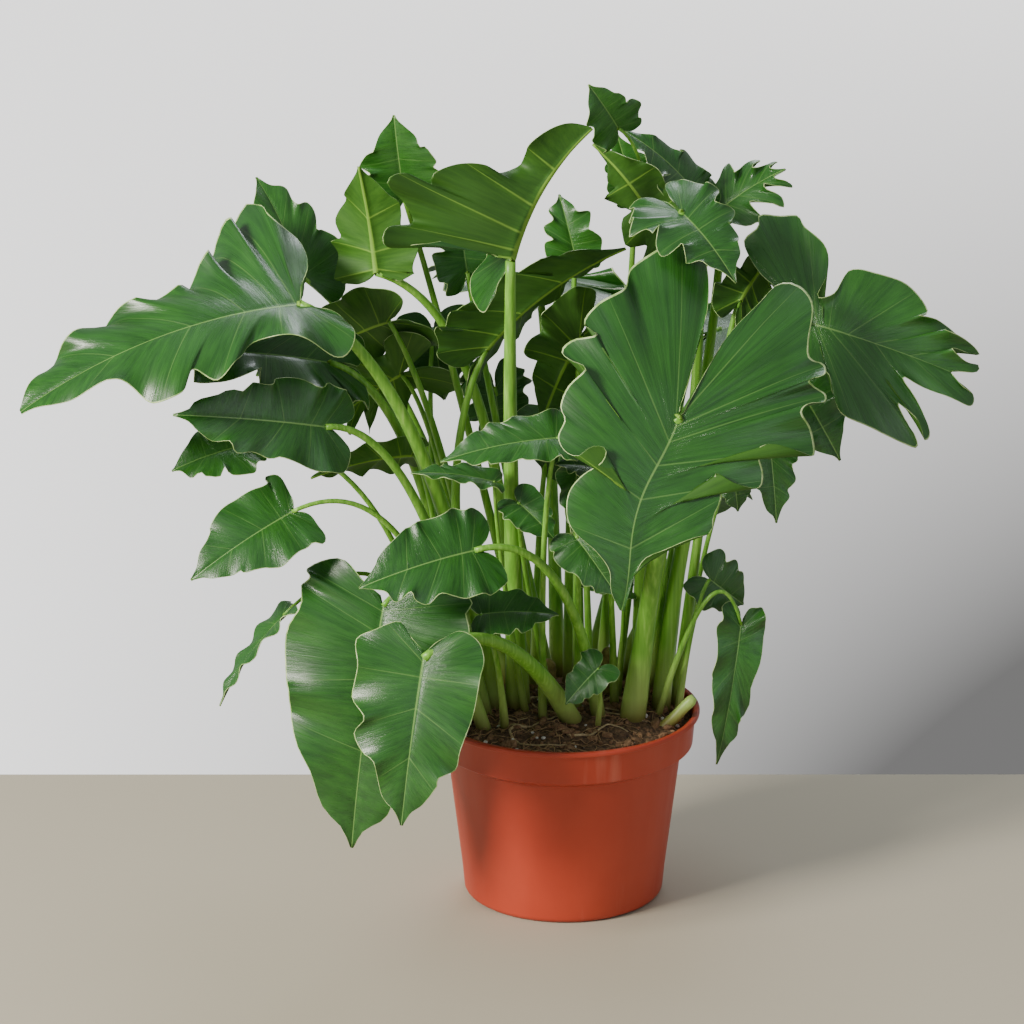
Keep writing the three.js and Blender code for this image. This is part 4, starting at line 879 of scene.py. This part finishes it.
def fibres():
    bm = bmesh.new()
    for _ in range(litter["fibres"]):
        start = onSoil()
        heading, length = random.uniform(0, 6.3), random.uniform(6, 22)
        bend = random.uniform(-1.2, 1.2)
        points = []
        for i in range(6):
            share = i / 5
            turn = heading + bend * share
            x = start.x + math.cos(turn) * length * share
            y = start.y + math.sin(turn) * length * share
            x, y = insidePot(x, y)
            lift = 0.3 + 2.2 * math.sin(math.pi * share) * random.random()
            points.append(Vector((x, y, surfaceAt(x, y) + lift)) * mm)
        shortest = min((a - b).length for a, b in zip(points, points[1:]))
        if (points[0] - points[-1]).length < 3 * mm or shortest < 0.2 * mm:
            continue
        thick = random.uniform(0.16, 0.4) * mm
        sweep(bm, points, [thick] * 6, 5, 0)
    return bm


def grains():
    bm = bmesh.new()
    for _ in range(litter["grains"]):
        where = Matrix.Translation((onSoil() + Vector((0, 0, 0.3))) * mm)
        shape = Matrix.Diagonal((*[random.uniform(0.7, 1.3) for _ in range(3)], 1))
        size = random.uniform(0.7, 1.7) * mm
        bmesh.ops.create_icosphere(bm, subdivisions=2, radius=size, matrix=where @ shape)
    knobbly(bm, 1.6, 0.3)
    return bm


def surfaceRoots():
    bm = bmesh.new()
    for _ in range(litter["surfaceRoots"]):
        start = onSoil(0.6)
        heading = random.uniform(-2.6, -0.4)
        points = []
        for i in range(15):
            share = i / 14
            turn = heading + 1.1 * math.sin(share * 3 + heading)
            x, y = start.x + math.cos(turn) * 46 * share, start.y + math.sin(turn) * 46 * share
            x, y = insidePot(x, y)
            points.append(Vector((x, y, surfaceAt(x, y) + 0.6)) * mm)
        if min((a - b).length for a, b in zip(points, points[1:])) < 0.3 * mm:
            continue
        sweep(bm, points, [(1.3 - 0.9 * i / 14) * mm for i in range(15)], 9, 0)
    return bm


addPiece("bark_bits", barkBits(), [shreddedBark], [])
addPiece("coir_fibres", fibres(), [dryFibre], [])
addPiece("perlite_grains", grains(), [perlite], [])
addPiece("surface_roots", surfaceRoots(), [rootSkin], [])
print("soil laid")


stage = {"tableWidth": 6.0, "back": 0.235, "front": -4.0, "thickness": 0.03}


def paintedTop():
    material, tree = newMaterial("mattBoardTop")
    shader = addNode(tree, "BsdfPrincipled", {"Base Color": "#aba490"}, Roughness=0.75)
    addNode(tree, "OutputMaterial", {"Surface": shader})
    return material


bm = bmesh.new()
middle = (stage["back"] + stage["front"]) / 2
size = Matrix.Diagonal((stage["tableWidth"], stage["back"] - stage["front"], stage["thickness"], 1))
bmesh.ops.create_cube(bm, size=1, matrix=Matrix.Translation((0, middle, -stage["thickness"] / 2)) @ size)
mesh = bpy.data.meshes.new("table")
bm.to_mesh(mesh)
bm.free()
tableTop = bpy.data.objects.new("table", mesh)
bpy.context.scene.collection.objects.link(tableTop)
mesh.materials.append(paintedTop())


# a broad warm key from the left, a weak cool fill and a light from behind that lifts the leaf edges
lights = {
    "keyLight": dict(place=(-2.3, -1.6, 1.75), target=(0, 0, 0.3), size=1.0, watts=185, colour="#fff8ef"),
    "fillLight": dict(place=(1.8, -2.6, 1.2), target=(0, 0, 0.3), size=1.6, watts=8, colour="#eef3ff"),
    "backLight": dict(place=(0.4, 1.9, 2.2), target=(0, 0, 0.4), size=1.2, watts=30, colour="#f4f7ff"),
}

for name, light in lights.items():
    data = bpy.data.lights.new(name, "AREA")
    data.shape = "DISK"
    data.size = light["size"]
    data.energy = light["watts"]
    data.color = linear(light["colour"])[:3]
    lamp = bpy.data.objects.new(name, data)
    lamp.location = light["place"]
    aim = Vector(light["target"]) - Vector(light["place"])
    lamp.rotation_euler = aim.to_track_quat("-Z", "Y").to_euler()
    bpy.context.scene.collection.objects.link(lamp)

world = bpy.data.worlds.new("paleWall")
bpy.context.scene.world = world
world.use_nodes = True
tree = world.node_tree
tree.nodes.clear()
wallLook = {"colour": "#e4e3e2", "strength": 2.1, "brightest": 1.12, "paintedShadeFalloff": 1.5, "glow": 0.55}
glow = addNode(tree, "Background", {"Color": "#e6e8ea", "Strength": wallLook["glow"]})
# painted shade: by compass direction, the wall is darkened towards the lower right, away from the key light
compass = addNode(tree, "TexCoord").outputs["Generated"]
right, _, up = addNode(tree, "SeparateXYZ", {0: compass}).outputs
rightward = addNode(tree, "Math", {0: right, 1: 4.17, 2: 0.5}, operation="MULTIPLY_ADD", use_clamp=True)
downward = addNode(tree, "Math", {0: up, 1: -4.17, 2: -0.71}, operation="MULTIPLY_ADD", use_clamp=True)
corner = addNode(tree, "Math", {0: rightward, 1: downward}, operation="MULTIPLY")
corner = addNode(tree, "Math", {0: corner, 1: wallLook["paintedShadeFalloff"]}, operation="MULTIPLY")
corner = addNode(tree, "Math", {0: corner, 1: 1.0}, operation="MINIMUM")
shade = addNode(tree, "Math", {0: wallLook["brightest"], 1: corner}, operation="SUBTRACT")
shade = addNode(tree, "Math", {0: shade, 1: wallLook["strength"]}, operation="MULTIPLY")
# the wall colour the camera sees carries this painted shade
wall = addNode(tree, "Background", {"Color": wallLook["colour"], "Strength": shade})
seen = addNode(tree, "LightPath").outputs["Is Camera Ray"]
mixed = addNode(tree, "MixShader", {0: seen, 1: glow, 2: wall})
addNode(tree, "OutputWorld", {"Surface": mixed})

view = {"lens": 149.9, "sensor": 36, "farthest": 50, "place": (-0.039, -3.0, 1.24), "tilt": 72.55}
camera = bpy.data.objects.new("camera", bpy.data.cameras.new("camera"))
camera.data.lens = view["lens"]
camera.data.sensor_width = view["sensor"]
camera.data.clip_end = view["farthest"]
camera.location = view["place"]
camera.rotation_euler = (math.radians(view["tilt"]), 0, 0)
bpy.context.scene.collection.objects.link(camera)
bpy.context.scene.camera = camera
print("stage set")
